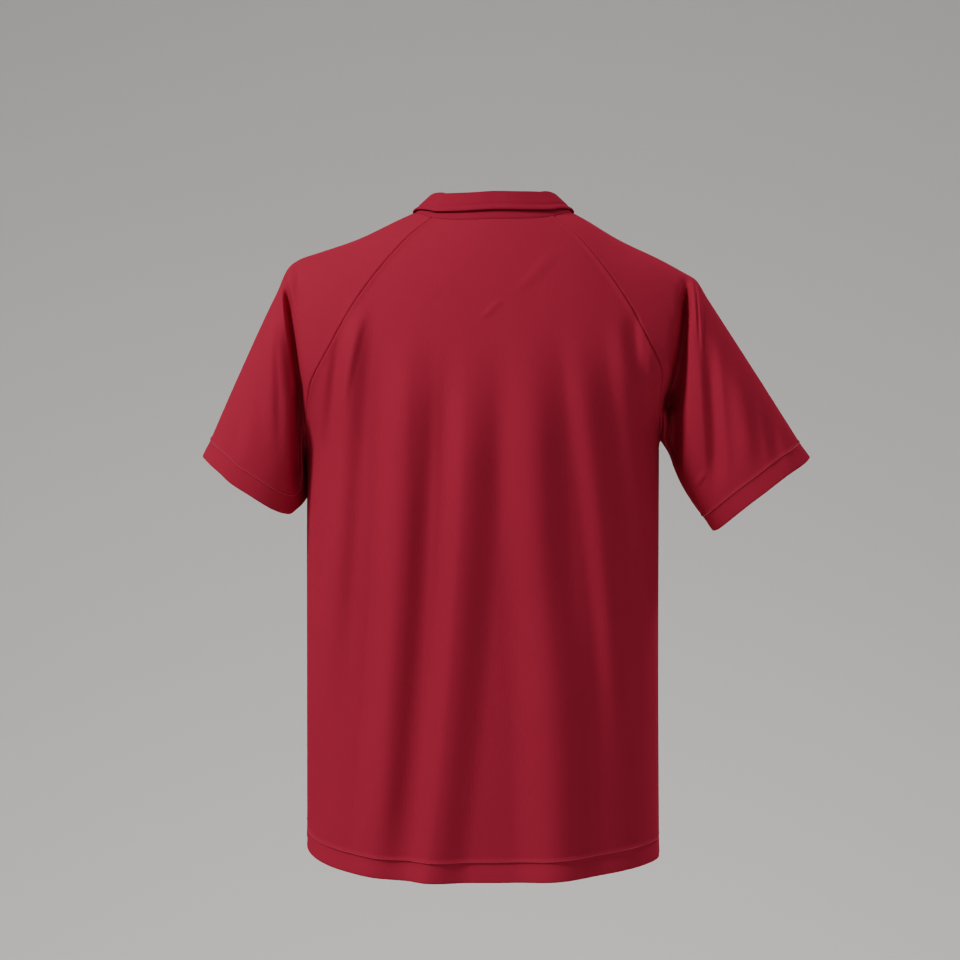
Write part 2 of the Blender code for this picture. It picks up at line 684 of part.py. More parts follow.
def main():
    clear_scene()
    back = panel_grid(1, BACK_COLUMNS)
    front = panel_grid(-1, FRONT_COLUMNS)
    line = neck_line(back, front)
    grids = {
        "back": back[:, ::-1],
        "front": front,
        "sleeve_left": sleeve_grid(1)[:, ::-1],
        "sleeve_right": sleeve_grid(-1),
        "collar_stand": stand_grid(line)[:, ::-1],
        "collar_leaf": leaf_grid(line),
    }
    for name in grids:
        grids[name] = folded(folded(grids[name], 1), -1)
    closed = {name: name.startswith("sleeve") for name in grids}
    free = {
        "back": (0,),
        "front": (0,),
        "sleeve_left": (len(grids["sleeve_left"]) - 1,),
        "sleeve_right": (len(grids["sleeve_right"]) - 1,),
        "collar_stand": (len(grids["collar_stand"]) - 1,),
        "collar_leaf": (0, len(grids["collar_leaf"]) - 1),
    }
    normals = shared_normals(grids, closed)
    for name, grid in grids.items():
        thickness = np.full(len(grid), WALL)
        if name in ("back", "front"):
            thickness[:2] = HEM_WALL
        if closed[name]:
            thickness[-2:] = HEM_WALL
        finish = material(name + "_knit", COLLAR_RED if "collar" in name else RED, 0.7)
        shift = seam_shift(grid, closed[name], free[name])
        wall(name, grid, normals[name], shift, thickness, closed[name], finish)


main()
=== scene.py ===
"""Football jersey as worn: its knit panels, collar, seams and stitches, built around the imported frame.

Everything is in metres, apart from the rows of the folds, which are in millimetres. +Z is up, the front
faces -Y, the back +Y, and +X is the wearer's left. Each piece of cloth stands for one solid of the frame.
It follows that solid's form, but is thinner and finer, and it adds the seams, the hems, the creases and
the knit.
"""

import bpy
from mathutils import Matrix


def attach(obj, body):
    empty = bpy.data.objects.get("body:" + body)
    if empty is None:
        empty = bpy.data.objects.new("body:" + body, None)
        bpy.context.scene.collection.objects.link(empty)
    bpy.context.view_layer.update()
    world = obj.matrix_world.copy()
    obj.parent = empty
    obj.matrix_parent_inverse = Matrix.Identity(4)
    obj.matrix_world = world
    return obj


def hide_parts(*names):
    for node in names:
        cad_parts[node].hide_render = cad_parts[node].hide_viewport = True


bl_info = {
    "name": "Football Jersey",
    "version": (1, 0, 0),
    "blender": (4, 5, 0),
    "location": "View3D > Sidebar > Jersey",
    "description": "A hollow raglan football jersey with its seams, stitches and knit",
    "category": "Add Mesh",
}

import math
from collections import namedtuple

import bpy
import numpy as np
from bpy.props import FloatProperty, FloatVectorProperty, PointerProperty
from mathutils import Vector
from mathutils.kdtree import KDTree

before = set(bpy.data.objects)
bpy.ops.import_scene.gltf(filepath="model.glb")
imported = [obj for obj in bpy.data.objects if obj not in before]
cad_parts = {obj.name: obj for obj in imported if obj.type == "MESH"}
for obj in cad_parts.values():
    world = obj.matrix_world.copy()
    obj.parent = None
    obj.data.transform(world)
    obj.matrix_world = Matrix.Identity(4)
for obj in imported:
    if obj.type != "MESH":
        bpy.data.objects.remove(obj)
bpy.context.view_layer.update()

# ---- Sizes of the form, as in the frame ----

RING_POWER = 2.4  # roundness of a section across the body
BACK_POWER = 2.2  # roundness from the shoulder blades over the shoulder
FRONT_POWER = 1.8  # roundness from the chest over the shoulder
BACK_DEPTH = 0.110
FRONT_DEPTH = 0.125
ARMPIT_HEIGHT = -0.2535
ARMPIT_TILT = -0.046
HEM_SIDE_HEIGHT = -0.6655
HEM_TILT = 0.049
HEM_BACK_HEIGHT = -0.689
HEM_FRONT_HEIGHT = -0.681
HEM_SWEEP_LEFT = 0.9
HEM_SWEEP_RIGHT = 1.9
NECK_HALF_WIDTH = 0.0825
BACK_NECK_DROP = 0.0122
V_DEPTH = 0.092
V_CURVE = 1.15
SLEEVE_POWER = 2.25
SLEEVE_SET = -0.15  # how steeply a sleeve leaves the armpit, as a height for each unit outwards
TOP_LEVEL = 0.978  # height on the first ring that the neck ends of the raglan seams meet
LEAST_TURN = 0.006  # smallest angle between two columns of a sleeve
FOLD_FADE = 0.035  # depth from the middle plane over which the folds grow in
PIT_LIMIT = 0.80  # the deepest a fold goes, as a share of the way to the other face
LOOSE_RISE = 0.10  # rise up to which a sleeve hangs free of the body form
LOOSE_FADE = 0.30
SEAM_GAP = 0.0003


def table(kind, *rows):
    """A table of rows that have names for their numbers."""
    return tuple(kind(*row) for row in rows)


Section = namedtuple("Section", "drop centre half_width back front")
TRUNK = table(
    Section,  # drop is the share of the way from the armpits to the hem
    (0.0, 0.0125, 0.1845, 0.11, 0.125),
    (0.15, 0.0128, 0.1845, 0.1094, 0.1242),
    (0.55, 0.013, 0.1842, 0.105, 0.115),
    (1.0, 0.0125, 0.1845, 0.1045, 0.113),
)

Level = namedtuple("Level", "rise centre half_width")
YOKE = table(
    Level,  # rise is the share of the way from the armpits to the shoulder ridge
    (0.0, 0.0125, 0.1845),
    (0.06, 0.0127, 0.185),
    (0.13, 0.013, 0.188),
    (0.266, 0.0118, 0.2),
    (0.43, 0.0075, 0.222),
    (0.665, 0.005, 0.235),
    (1.0, 0.0015, 0.245),
)

Ridge = namedtuple("Ridge", "across height")
SHOULDER_RIDGE = table(
    Ridge,  # from the wearer's right to the left
    (-0.209, -0.069),
    (-0.175, -0.0505),
    (-0.132, -0.03),
    (-0.081, -0.0005),
    (-0.04, 0.014),
    (0.0, 0.019),
    (0.04, 0.014),
    (0.084, -0.0005),
    (0.148, -0.03),
    (0.183, -0.0418),
    (0.203, -0.0484),
    (0.215, -0.0538),
)

Seam = namedtuple("Seam", "across rise")
BACK_RAGLAN = table(
    Seam,  # from the armpit up to the neck seam
    (0.1845, 0.0),
    (0.184, 0.1),
    (0.1832, 0.2),
    (0.1825, 0.296),
    (0.1795, 0.39),
    (0.165, 0.513),
    (0.144, 0.672),
    (0.119, 0.795),
    (0.089, 0.89),
    (0.0635, 0.938),
)
FRONT_RAGLAN = table(
    Seam,  # the same, at the front
    (0.1845, 0.0),
    (0.1815, 0.1),
    (0.177, 0.21),
    (0.168, 0.33),
    (0.154, 0.47),
    (0.136, 0.6),
    (0.114, 0.72),
    (0.088, 0.83),
    (0.062, 0.925),
)

Ring = namedtuple("Ring", "top_across top_height under_across under_height middle back front tilt skew")
LEFT_RINGS = table(
    Ring,  # sections of the left sleeve from the shoulder point to the cuff
    (0.206, -0.051, 0.2005, -0.265, 0.0, 0.058, -0.06, 0.0, 0.0),
    (0.2142, -0.0552, 0.2, -0.27, 0.0, 0.057, -0.056, 0.0, 0.0),
    (0.2297, -0.085, 0.1988, -0.277, -0.002, 0.065, -0.066, 0.05, 0.02),
    (0.269, -0.1685, 0.198, -0.292, -0.006, 0.067, -0.068, 0.17, 0.06),
    (0.308, -0.257, 0.198, -0.308, -0.01, 0.066, -0.068, 0.25, 0.1),
)
RIGHT_RINGS = table(
    Ring,  # the same, of the right sleeve
    (-0.202, -0.062, -0.179, -0.2465, 0.0, 0.058, -0.06, 0.0, 0.0),
    (-0.2105, -0.0705, -0.1835, -0.254, 0.0, 0.06, -0.06, 0.0, 0.0),
    (-0.223, -0.09, -0.189, -0.269, 0.0, 0.064, -0.066, 0.01, 0.0),
    (-0.2765, -0.173, -0.206, -0.302, 0.0, 0.064, -0.066, 0.01, 0.0),
    (-0.33, -0.2575, -0.2305, -0.3345, 0.0, 0.062, -0.064, 0.0, 0.0),
)

Cut = namedtuple("Cut", "turn left right")
CUFF_CUT = table(
    Cut,  # how much shorter a sleeve is at each turn, in degrees from its top round by the back
    (0, 0.004, 0.0),
    (18, 0.0064, 0.0),
    (27, 0.0084, 0.0),
    (45, 0.0099, 0.0006),
    (60, 0.0096, 0.002),
    (75, 0.0068, 0.0028),
    (90, 0.0048, 0.0028),
    (104, 0.0019, 0.003),
    (120, -0.0014, 0.0024),
    (134, -0.0029, 0.0016),
    (142, -0.0026, 0.001),
    (150, 0.002, 0.0005),
    (160, 0.0063, 0.0),
    (175, 0.0106, 0.0),
    (196, 0.0063, 0.0),
    (220, 0.0042, 0.0),
    (360, 0.004, 0.0),
)

Collar = namedtuple("Collar", "share height lean reach")
COLLAR = table(
    Collar,  # share is the place on the neck seam, from the centre back to the point of the V
    (0.0, 0.0283, 0.42, -0.01),
    (0.05, 0.0283, 0.43, -0.01),
    (0.24, 0.0284, 0.75, -0.007),
    (0.405, 0.0214, 1.12, 0.0005),
    (0.61, 0.0165, 0.75, 0.014),
    (1.0, 0.0085, 0.4, 0.037),
)
COLLAR_WALL = 0.0015
ROLL_RADIUS = 0.0024  # of the fold where the leaf turns down
ROLL_RISE = 0.0008
LEAF_LIFT = 0.0032
LEAF_SPRING = 0.0010
LEAF_SLIDE = 0.0070
SLIDE_START = 0.55  # share of the way to the V from which the leaf's crossing slides up the seam
LAID_LEAN = 0.35  # lean beyond which the leaf lies on the body form, as an angle
LAID_FADE = 0.25
REACH_FADE = 0.010
KNEE_FADE = 0.012

# ---- Folds and creases ----

# A fold runs from its top by its middle to its foot. Left and right are its widths on either side of that
# line, towards the wearer's left and right. Rise is its height out of the cloth, or its depth when negative.
# Start and stop are the lengths over which it grows in at the top and dies out at the foot.
Fold = namedtuple("Fold", "top_x top_z mid_x foot_x foot_z left right rise start stop")


def folds(*rows):
    """Folds from rows in millimetres."""
    return tuple(Fold(*(value / 1000 for value in row)) for row in rows)


BACK_FOLDS = folds(
    # the long folds that fall from the shoulder blades
    (142, -80, 160.5, 177, -560, 17, 23, 8.4, 80, 200),
    (90.5, -110, 101.5, 133, -760, 31, 30, 12.4, 130, 180),
    (27.5, -125, 42.8, 78, -760, 25, 42, 12.4, 150, 10),
    (-33, -110, -42, -52, -550, 40, 38, 11, 150, 220),
    (-56, -330, -60, -64, -760, 46, 50, 13.4, 200, 10),
    (-78, -110, -111, -131, -620, 22, 28, 6, 110, 200),
    (-124, -110, -148, -162, -500, 19, 20, 4.4, 70, 200),
    # behind the arms
    (219.5, -66, 208.8, 199, -205, 7, 6, -14, 35, 25),
    (221, -85, 210, 200, -220, 15, 6, -4.5, 60, 35),
    (203.5, -175, 205, 205, -300, 8, 5, -15, 30, 30),
    (204.5, -180, 205.5, 205.5, -300, 12, 5, -3.5, 40, 30),
    (-199, -64, -193.2, -187.5, -300, 9, 7, -21, 45, 30),
    (-190, -105, -184.5, -183.5, -300, 8.5, 11, -22, 70, 25),
)
FRONT_FOLDS = folds(
    # the long folds that fall from the chest
    (140, -130, 152, 160, -760, 34, 30, 8.2, 160, 10),
    (70, -200, 84, 92, -760, 32, 28, 8.8, 200, 10),
    (4, -260, 2, -6, -760, 32, 30, 7.4, 200, 10),
    (-70, -190, -80, -86, -760, 28, 32, 9.2, 200, 10),
    (-138, -150, -144, -146, -760, 28, 24, 7.6, 150, 10),
    # before the arms
    (215, -75, 206, 195, -268, 20, 6, -16, 70, 60),
    (-201, -80, -195, -188, -270, 18, 6, -16, 70, 60),
)
BACK_CREASES = folds(
    # the press mark between the shoulder blades
    (-4, -98, 6, 16, -119, 3.6, 11, 0.9, 4, 6),
    (-61, -42, -40, -6, -101, 11, 15, 0.8, 18, 30),
    (68, -66, 48, 24, -101, 9, 12, 0.8, 16, 20),
    # short pulls beside the raglan seams
    (148, -108, 160, 171, -196, 10, 9, -1.4, 30, 40),
    (156, -130, 169, 178, -300, 11, 16, -3.6, 60, 90),
    (134, -102, 150, 164, -236, 10, 9, 2.6, 35, 60),
    (-141, -103, -143, -145, -182, 18, 9, -3.6, 30, 40),
    (-156, -133, -159, -161, -210, 7, 7, 1.6, 30, 40),
    # sharper edges on the long folds, and slack between their tops
    (109, -150, 108.5, 121, -620, 10, 16, 1.6, 120, 160),
    (56, -180, 64, 81, -700, 9, 14, 1.2, 120, 120),
    (68, -150, 70.5, 74, -330, 16, 20, 1.8, 60, 100),
    # down the sleeves
    (234, -95, 231.5, 229.5, -265, 13, 9, 2.8, 50, 60),
    (256, -145, 264, 268, -270, 14, 14, -3, 50, 50),
    (-218, -115, -223.5, -229, -305, 12, 13, -6, 70, 50),
    (-212, -70, -212.5, -214, -160, 3.5, 3.5, 2, 16, 40),
    (-206, -64, -207, -208, -145, 3.5, 3, 1.8, 14, 40),
    (-248, -150, -256, -262, -290, 16, 16, 3, 60, 50),
    (-280, -190, -288, -294, -280, 12, 12, -2.4, 40, 40),
    (-217, -272, -212, -206, -292, 5, 5, 1.8, 8, 8),
    (242, -133, 238, 232, -144, 4, 4, 1.4, 5, 5),
)
FRONT_CREASES = folds(
    # slack that hangs from the point of the V and from the armpits
    (30, -125, 42, 48, -330, 14, 12, 2.6, 50, 90),
    (-24, -125, -34, -40, -350, 12, 14, 2.8, 50, 100),
    (166, -170, 130, 108, -290, 16, 12, 2.6, 50, 60),
    (-156, -175, -120, -98, -285, 12, 16, 2.4, 50, 60),
    # beside the raglan seams
    (133, -90, 142, 150, -175, 10, 9, 2, 30, 40),
    (-128, -95, -136, -144, -185, 9, 10, 2, 30, 40),
    # above the hem
    (46, -520, 48, 50, -740, 14, 12, 2.2, 90, 10),
    (-38, -540, -40, -42, -740, 12, 14, 2, 80, 10),
    # down the sleeves
    (245, -100, 243, 242, -265, 12, 13, 3, 50, 60),
    (262, -155, 270, 274, -265, 13, 13, -2.6, 50, 50),
    (-224, -115, -233, -243, -300, 11, 10, -3.6, 60, 50),
    (-255, -160, -265, -272, -290, 14, 14, 2.6, 50, 50),
)

# ---- Fineness of the cloth ----

BACK_COLUMNS = 168
FRONT_COLUMNS = 116
TRUNK_ROWS = 98
YOKE_ROWS = 114
SLEEVE_TOP_COLUMNS = 28
BODY_ROWS = 16
HOLLOW_ROWS = 74
ARM_ROWS = 38
COURSE_ROWS = 240  # rows of the plain sleeve before its cuff is cut
BAND_ROWS = 6
BAND_EDGE_ROWS = 6
ROLL_ROWS = 7
LEAF_ROWS = 26
COLLAR_COLUMNS = 288
SAMPLES = 500
SEAM_MARK_STEP = 0.0005  # distance between the marks from which the way to a seam is measured
EDGE_STEPS = np.array([0, 0.5, 1.1, 1.8, 2.7, 3.8, 5.2, 7]) / 1000  # places of the points next to a seam
HEM_STEPS = (  # places of the rows next to a hem
    np.array([0, 1.2, 4, 8, 12, 15, 16.4, 17.2, 17.7, 18.1, 18.5, 18.9, 19.3, 19.9, 20.7, 21.7, 23, 25])
    / 1000
)
LIP_TURNS = (0.25, 0.5, 0.75)  # shares of the half turn round the edge of the cloth

# ---- Relief of the seams and the hems ----

LIP_PLACE = 0.0019  # distance of the lip from its seam
LIP_WIDTH = 0.0034
GROOVE_WIDTH = 0.0008  # half the width of the groove at a seam
NECK_LIP = 0.2  # share of the lip that the neck seam and a sleeve's raglan seam have
BAND_LIP = 0.3  # the same on the neckband
UNDERARM_DEPTH = 0.0006
UNDERARM_LIP = 0.0003
HEM_LINE = 0.0190  # distance of the stitches from the edge of a hem
HEM_FOOT = 0.0178  # where the swell starts to rise above the stitches
HEM_WIDTH = 0.0018  # height over which the swell fades upwards
HEM_FALL = 0.0175  # height over which the cloth leans out below the stitches
HEM_FLARE = 1.5  # how far it leans out, for each unit that it swells
HEM_HELD = 0.15  # share of the hem's relief that is left at the side seams
HELD_START = 0.006
HELD_LENGTH = 0.030
CUFF_RELIEF = 0.45  # share of the hem's relief that the cuffs have
TURNED_UP = 0.0195  # height of the doubled cloth above the edge of a hem
TURN_END = 0.0010  # height over which it thins to one layer
LEAF_RELIEF = 0.0005
LEAF_SWELL = 0.0016  # distance of the swell from the edge of the leaf
LEAF_SWELL_WIDTH = 0.0014
LEAF_DIP = 0.0062
LEAF_DIP_WIDTH = 0.0016

# ---- Pieces and lights ----

Piece = namedtuple("Piece", "name slot flat rests_on")
PIECES = {  # each solid's cloth. Flat is the size it is cut to, across and along
    "back": Piece("back_panel", "body_knit", (0.51, 0.70), ["sleeve_left", "sleeve_right"]),
    "front": Piece("front_panel", "body_knit", (0.52, 0.69), ["sleeve_left", "sleeve_right"]),
    "sleeve_left": Piece("sleeve_left_cloth", "body_knit", (0.54, 0.38), ["back", "front"]),
    "sleeve_right": Piece("sleeve_right_cloth", "body_knit", (0.54, 0.39), ["back", "front"]),
    "collar_stand": Piece("neckband", "collar_knit", (0.56, 0.029), ["back", "front"]),
    "collar_leaf": Piece("collar", "collar_knit", (0.55, 0.060), ["collar_stand"]),
}

MIDDLE = (0.0, 0.0, -0.32)  # where most of the lights point
Light = namedtuple("Light", "name place aim source share size")
LIGHTS = table(
    Light,  # share is the part of the stage's key or fill power that it has
    ("key", (2.20, 1.52, 1.80), MIDDLE, "key_power", 1.0, 0.8),
    ("fill_back", (-2.3, 2.5, 1.7), MIDDLE, "fill_power", 1.5, 2.0),
    ("key_front", (-2.20, -1.80, 1.90), MIDDLE, "key_power", 0.6, 0.8),
    ("fill_front", (2.2, -2.6, 1.5), MIDDLE, "fill_power", 1.4, 2.0),
    ("top", (0.0, 0.2, 2.8), MIDDLE, "fill_power", 0.3, 2.2),
    ("wash_front", (0.0, -2.4, 2.4), (0.0, -6.0, -0.6), "key_power", 1.4, 1.8),
    ("wash_back", (0.0, 2.4, 2.4), (0.0, 6.0, -0.6), "key_power", 0.3, 1.8),
)
CAMERA_PLACE = (0.0158, 2.6, -0.282)
CAMERA_LENS = 92.44  # in millimetres, on a sensor 36 mm wide
COVE_START = 2.6  # radius at which the floor starts to curve up
COVE_RADIUS = 5.4
COVE_RIM = (8.0, 7.5)
COVE_FIRST_TURN = 0.06
COVE_RINGS = 24
COVE_SIDES = 96


def linear(code):
    """The linear colour of an sRGB hex value."""
    parts = [int(code[i : i + 2], 16) / 255 for i in (1, 3, 5)]
    return tuple(c / 12.92 if c <= 0.04045 else ((c + 0.055) / 1.055) ** 2.4 for c in parts)


class JerseyCloth(bpy.types.PropertyGroup):
    """The knit and how it is sewn."""

    thickness: FloatProperty(
        name="Thickness", description="Thickness of the knit", default=0.0009, min=0.0003, unit="LENGTH"
    )
    hem_thickness: FloatProperty(
        name="Hem thickness", description="Thickness where it is turned up", default=0.0020, unit="LENGTH"
    )
    seam_depth: FloatProperty(
        name="Seam depth", description="How far a seam pulls the knit in", default=0.0009, unit="LENGTH"
    )
    neck_seam_depth: FloatProperty(
        name="Neck seam depth", description="How far the neck seam pulls it in", default=0.0002, unit="LENGTH"
    )
    seam_lip: FloatProperty(
        name="Seam lip", description="How far the knit stands up beside a seam", default=0.0010, unit="LENGTH"
    )
    hem_swell: FloatProperty(
        name="Hem swell", description="How far it swells above the stitches", default=0.0015, unit="LENGTH"
    )
    crease_strength: FloatProperty(
        name="Creases", description="Strength of the small creases", default=1.0, subtype="FACTOR"
    )
    wale_pitch: FloatProperty(
        name="Wale pitch", description="Distance between columns of loops", default=0.0014, unit="LENGTH"
    )
    body_colour: FloatVectorProperty(
        name="Body", description="Colour of panels and sleeves", subtype="COLOR", default=linear("#AF2C43")
    )
    collar_colour: FloatVectorProperty(
        name="Collar", description="Colour of the collar", subtype="COLOR", default=linear("#A82840")
    )


class JerseyStitching(bpy.types.PropertyGroup):
    """The sewing thread."""

    length: FloatProperty(
        name="Stitch length", description="Distance from stitch to stitch", default=0.0030, unit="LENGTH"
    )
    width: FloatProperty(
        name="Thread width", description="Width of the thread", default=0.00055, unit="LENGTH"
    )
    place: FloatProperty(
        name="Place", description="Distance of the stitches from the edge", default=HEM_LINE, unit="LENGTH"
    )
    colour: FloatVectorProperty(
        name="Thread", description="Colour of the thread", subtype="COLOR", default=linear("#C0405A")
    )


class JerseyStage(bpy.types.PropertyGroup):
    """The floor and the lights."""

    floor_height: FloatProperty(
        name="Floor height", description="Height of the floor", default=-1.60, unit="LENGTH"
    )
    floor_colour: FloatVectorProperty(
        name="Floor", description="Colour of the floor", subtype="COLOR", default=linear("#D2D0CD")
    )
    key_power: FloatProperty(
        name="Key light", description="Power of the main light, shared by others", default=83.0, unit="POWER"
    )
    fill_power: FloatProperty(
        name="Fill light", description="Power that the soft lights share", default=13.0, unit="POWER"
    )
    sky: FloatProperty(name="Sky", description="Strength of the light from all round", default=0.12)


# ---- The form ----


def between(values, slopes, i, step, f):
    """The smooth curve from knot i to the next one, at the share f of the step between them."""
    blend = 3 * f**2 - 2 * f**3
    bend = slopes[i] * f * (1 - f) ** 2 + slopes[i + 1] * f**2 * (f - 1)
    return values[i] * (1 - blend) + values[i + 1] * blend + step * bend


def through(keys, values, at):
    """A smooth curve through the values at rising keys, read at the places given."""
    keys = np.asarray(keys, float)
    values = np.asarray(values, float)
    slopes = np.gradient(values, keys, axis=0)
    at = np.clip(at, keys[0], keys[-1])
    i = np.clip(np.searchsorted(keys, at, side="right") - 1, 0, len(keys) - 2)
    step = keys[i + 1] - keys[i]
    f = (at - keys[i]) / step
    if values.ndim > 1:
        f = f[..., None]
        step = step[..., None]
    return between(values, slopes, i, step, f)


def lookup(rows, name, at):
    """A named column of a table, read smoothly along the table's first column."""
    return through([row[0] for row in rows], [getattr(row, name) for row in rows], at)


def soft_step(value):
    """0 below 0, 1 above 1 and a smooth ramp between."""
    f = np.clip(value, 0.0, 1.0)
    return f * f * (3 - 2 * f)


def bell(distance, middle, width):
    return np.exp(-(((distance - middle) / width) ** 2))


def unit(vectors):
    return vectors / np.linalg.norm(vectors, axis=-1, keepdims=True)


def ridge_height(x):
    """Height of the shoulder ridge."""
    return lookup(SHOULDER_RIDGE, "height", x)


def armpit_height(x):
    return ARMPIT_HEIGHT + ARMPIT_TILT * x


def rounded(share, power):
    """Height of a rounded arch, from 1 at share 0 down to 0 at share 1."""
    return np.clip(1 - np.abs(share) ** power, 0, 1) ** (1 / power)


def yoke_point(across, rise, face):
    """Points of the form above the armpits. Face is 1 at the back and -1 at the front."""
    rise = np.asarray(rise, float)
    x = lookup(YOKE, "centre", rise) + across
    low = armpit_height(x)
    z = low + (ridge_height(x) - low) * rise
    depth, power = (BACK_DEPTH, BACK_POWER) if face > 0 else (FRONT_DEPTH, FRONT_POWER)
    across_arch = rounded(across / lookup(YOKE, "half_width", rise), RING_POWER)
    return np.stack([x, face * depth * rounded(rise, power) * across_arch, z], -1)


def trunk_point(share, drop, face):
    """Points of the form below the armpits. Share runs from -1 to 1 across it."""
    x = lookup(TRUNK, "centre", drop) + lookup(TRUNK, "half_width", drop) * share
    arch = rounded(share, RING_POWER)
    y = face * lookup(TRUNK, "back" if face > 0 else "front", drop) * arch
    side = HEM_SIDE_HEIGHT + HEM_TILT * x
    middle = HEM_BACK_HEIGHT if face > 0 else HEM_FRONT_HEIGHT
    hem = side + (middle - side) * arch ** np.where(share > 0, HEM_SWEEP_LEFT, HEM_SWEEP_RIGHT)
    low = armpit_height(x)
    return np.stack([x, y, low + (hem - low) * drop], -1)


def folded(points, face, rows):
    """Moves the points of one face in and out along the folds, which fade towards the sides."""
    x, y, z = points[..., 0], points[..., 1], points[..., 2]
    lift = np.zeros_like(x)
    for fold in rows:
        share = np.clip((z - fold.top_z) / (fold.foot_z - fold.top_z), -0.2, 1.2)
        bend = fold.mid_x - (fold.top_x + fold.foot_x) / 2
        off = x - (fold.top_x + (fold.foot_x - fold.top_x) * share + 4 * bend * share * (1 - share))
        width = np.where(off > 0, fold.left, fold.right)
        bump = 0.5 + 0.5 * np.cos(math.pi * np.clip(off / width, -1, 1))
        grow = soft_step((fold.top_z - z) / fold.start)
        fade = soft_step((z - fold.foot_z) / fold.stop)
        lift += fold.rise * bump * grow * fade
    moved = points.copy()
    lift = np.maximum(lift, -PIT_LIMIT * np.abs(y))
    moved[..., 1] = y + face * lift * soft_step(face * y / FOLD_FADE)
    return moved


def run_of(points):
    """Distance along a line of points, from its start."""
    return np.append(0, np.cumsum(np.linalg.norm(np.diff(points, axis=0), axis=1)))


def read_at(points, run, at):
    return np.stack([np.interp(at, run, points[:, k]) for k in range(3)], 1)


def evenly(line, count):
    """The same line with so many equal steps."""
    run = run_of(line)
    return read_at(line, run, np.linspace(0, run[-1], count + 1))


def stations(length, count, start, end):
    """Places along a length, close together at an end that is sewn."""
    first = EDGE_STEPS if start else [0.0]
    last = length - EDGE_STEPS[::-1] if end else [length]
    return np.array([*first, *np.linspace(first[-1], last[0], count + 1)[1:-1], *last])


def sewn_row(points, columns):
    """Divides a row that is sewn at both ends."""
    run = run_of(points)
    return read_at(points, run, stations(run[-1], columns, True, True))


def raglan(face):
    return BACK_RAGLAN if face > 0 else FRONT_RAGLAN


def neck_dip(face):
    """How far the neck edge lies below the raglan ends, as a share of the rise at those ends."""
    depth = BACK_NECK_DROP if face > 0 else V_DEPTH
    low = armpit_height(0.0)
    return 1 - (-depth - low) / (ridge_height(0.0) - low) / raglan(face)[-1].rise


def seam_at(climb, face):
    """Distance from the middle line, and rise, on a raglan seam. Climb is 0 at the armpit, 1 at the neck."""
    keys = np.linspace(0, 1, len(raglan(face)))
    return through(keys, raglan(face), np.asarray(climb)).T


def seam_climbs(face):
    """Places of the rows along a raglan seam, close together at the neck."""
    climbs = np.linspace(0, 1, SAMPLES + 1)
    run = run_of(yoke_point(*seam_at(climbs, face), face))
    return np.interp(stations(run[-1], YOKE_ROWS, False, True), run, climbs)


def yoke_row(climb, face):
    """A row of the panel from raglan seam to raglan seam. Climb is 0 at the armpits and 1 at the neck."""
    across, rise = seam_at(climb, face)
    share = float(np.clip(across / lookup(YOKE, "half_width", rise), -1, 1))
    turn = math.asin(share ** (RING_POWER / 2))
    t = np.linspace(-1, 1, SAMPLES + 1)
    lean = np.abs(np.sin(t * turn)) ** (2 / RING_POWER) / math.sin(turn) ** (2 / RING_POWER)
    shape = 1 - t**2 if face > 0 else np.clip(1 - lean, 0, 1) ** V_CURVE
    row_rise = rise * (1 - neck_dip(face) * climb * shape)
    return yoke_point(np.sign(t) * lean * across, row_rise, face)


def trunk_row(drop, face):
    """A row of the panel from side seam to side seam. Drop is 0 at the armpits and 1 at the hem."""
    t = np.linspace(-1, 1, SAMPLES + 1)
    share = np.sign(t) * np.abs(np.sin(t * math.pi / 2)) ** (2 / RING_POWER)
    return trunk_point(share, drop, face)


def panel_grid(face):
    """Outer points of the back or front panel, row by row from the hem to the neck."""
    columns = BACK_COLUMNS if face > 0 else FRONT_COLUMNS
    length = armpit_height(0) - HEM_SIDE_HEIGHT
    from_hem = [*HEM_STEPS, *np.linspace(HEM_STEPS[-1], length, TRUNK_ROWS)[1:]]
    rows = [trunk_row(1 - step / length, face) for step in from_hem]
    rows += [yoke_row(climb, face) for climb in seam_climbs(face)[1:]]
    return np.array([sewn_row(row, columns) for row in rows])


def opening_of(side):
    """The sleeve's opening in the form's own terms: from the back neck down the back seam, up the front seam
    and over the shoulder. Across is the distance from the middle line, and lean the angle from the ridge."""
    back = seam_at(seam_climbs(1)[::-1], 1)
    front = seam_at(seam_climbs(-1)[1:], -1)
    s = np.linspace(-1, 1, SLEEVE_TOP_COLUMNS + 1)[1:-1]
    end_across = np.where(s > 0, BACK_RAGLAN[-1].across, FRONT_RAGLAN[-1].across)
    end_lean = np.where(s > 0, math.acos(BACK_RAGLAN[-1].rise), math.acos(FRONT_RAGLAN[-1].rise))
    neck_across = NECK_HALF_WIDTH + (end_across - NECK_HALF_WIDTH) * s * s
    across = np.concatenate([back[0], front[0], neck_across])
    lean = np.concatenate([np.arccos(back[1]), -np.arccos(front[1]), s * end_lean])
    return side * across, lean


def form_points(across, lean):
    """Points of the yoke for signed lean angles, positive at the back."""
    back = yoke_point(across, np.cos(lean), 1)
    front = yoke_point(across, np.cos(lean), -1)
    return np.where((lean >= 0)[:, None], back, front)


def form_place(points, at_back):
    """The other way round: the distance from the middle line, and the lean, of points on the form."""
    x, z = points[:, 0], points[:, 2]
    low = armpit_height(x)
    rise = np.clip((z - low) / (ridge_height(x) - low), 0, 1)
    return x - lookup(YOKE, "centre", rise), np.where(at_back, 1, -1) * np.arccos(rise)


def form_normals(across, lean):
    """Outward unit normals of the yoke."""
    step_across, step_lean = 0.002, 0.02
    along = form_points(across + step_across, lean) - form_points(across - step_across, lean)
    over = form_points(across, lean + step_lean) - form_points(across, lean - step_lean)
    return unit(np.cross(along, over))


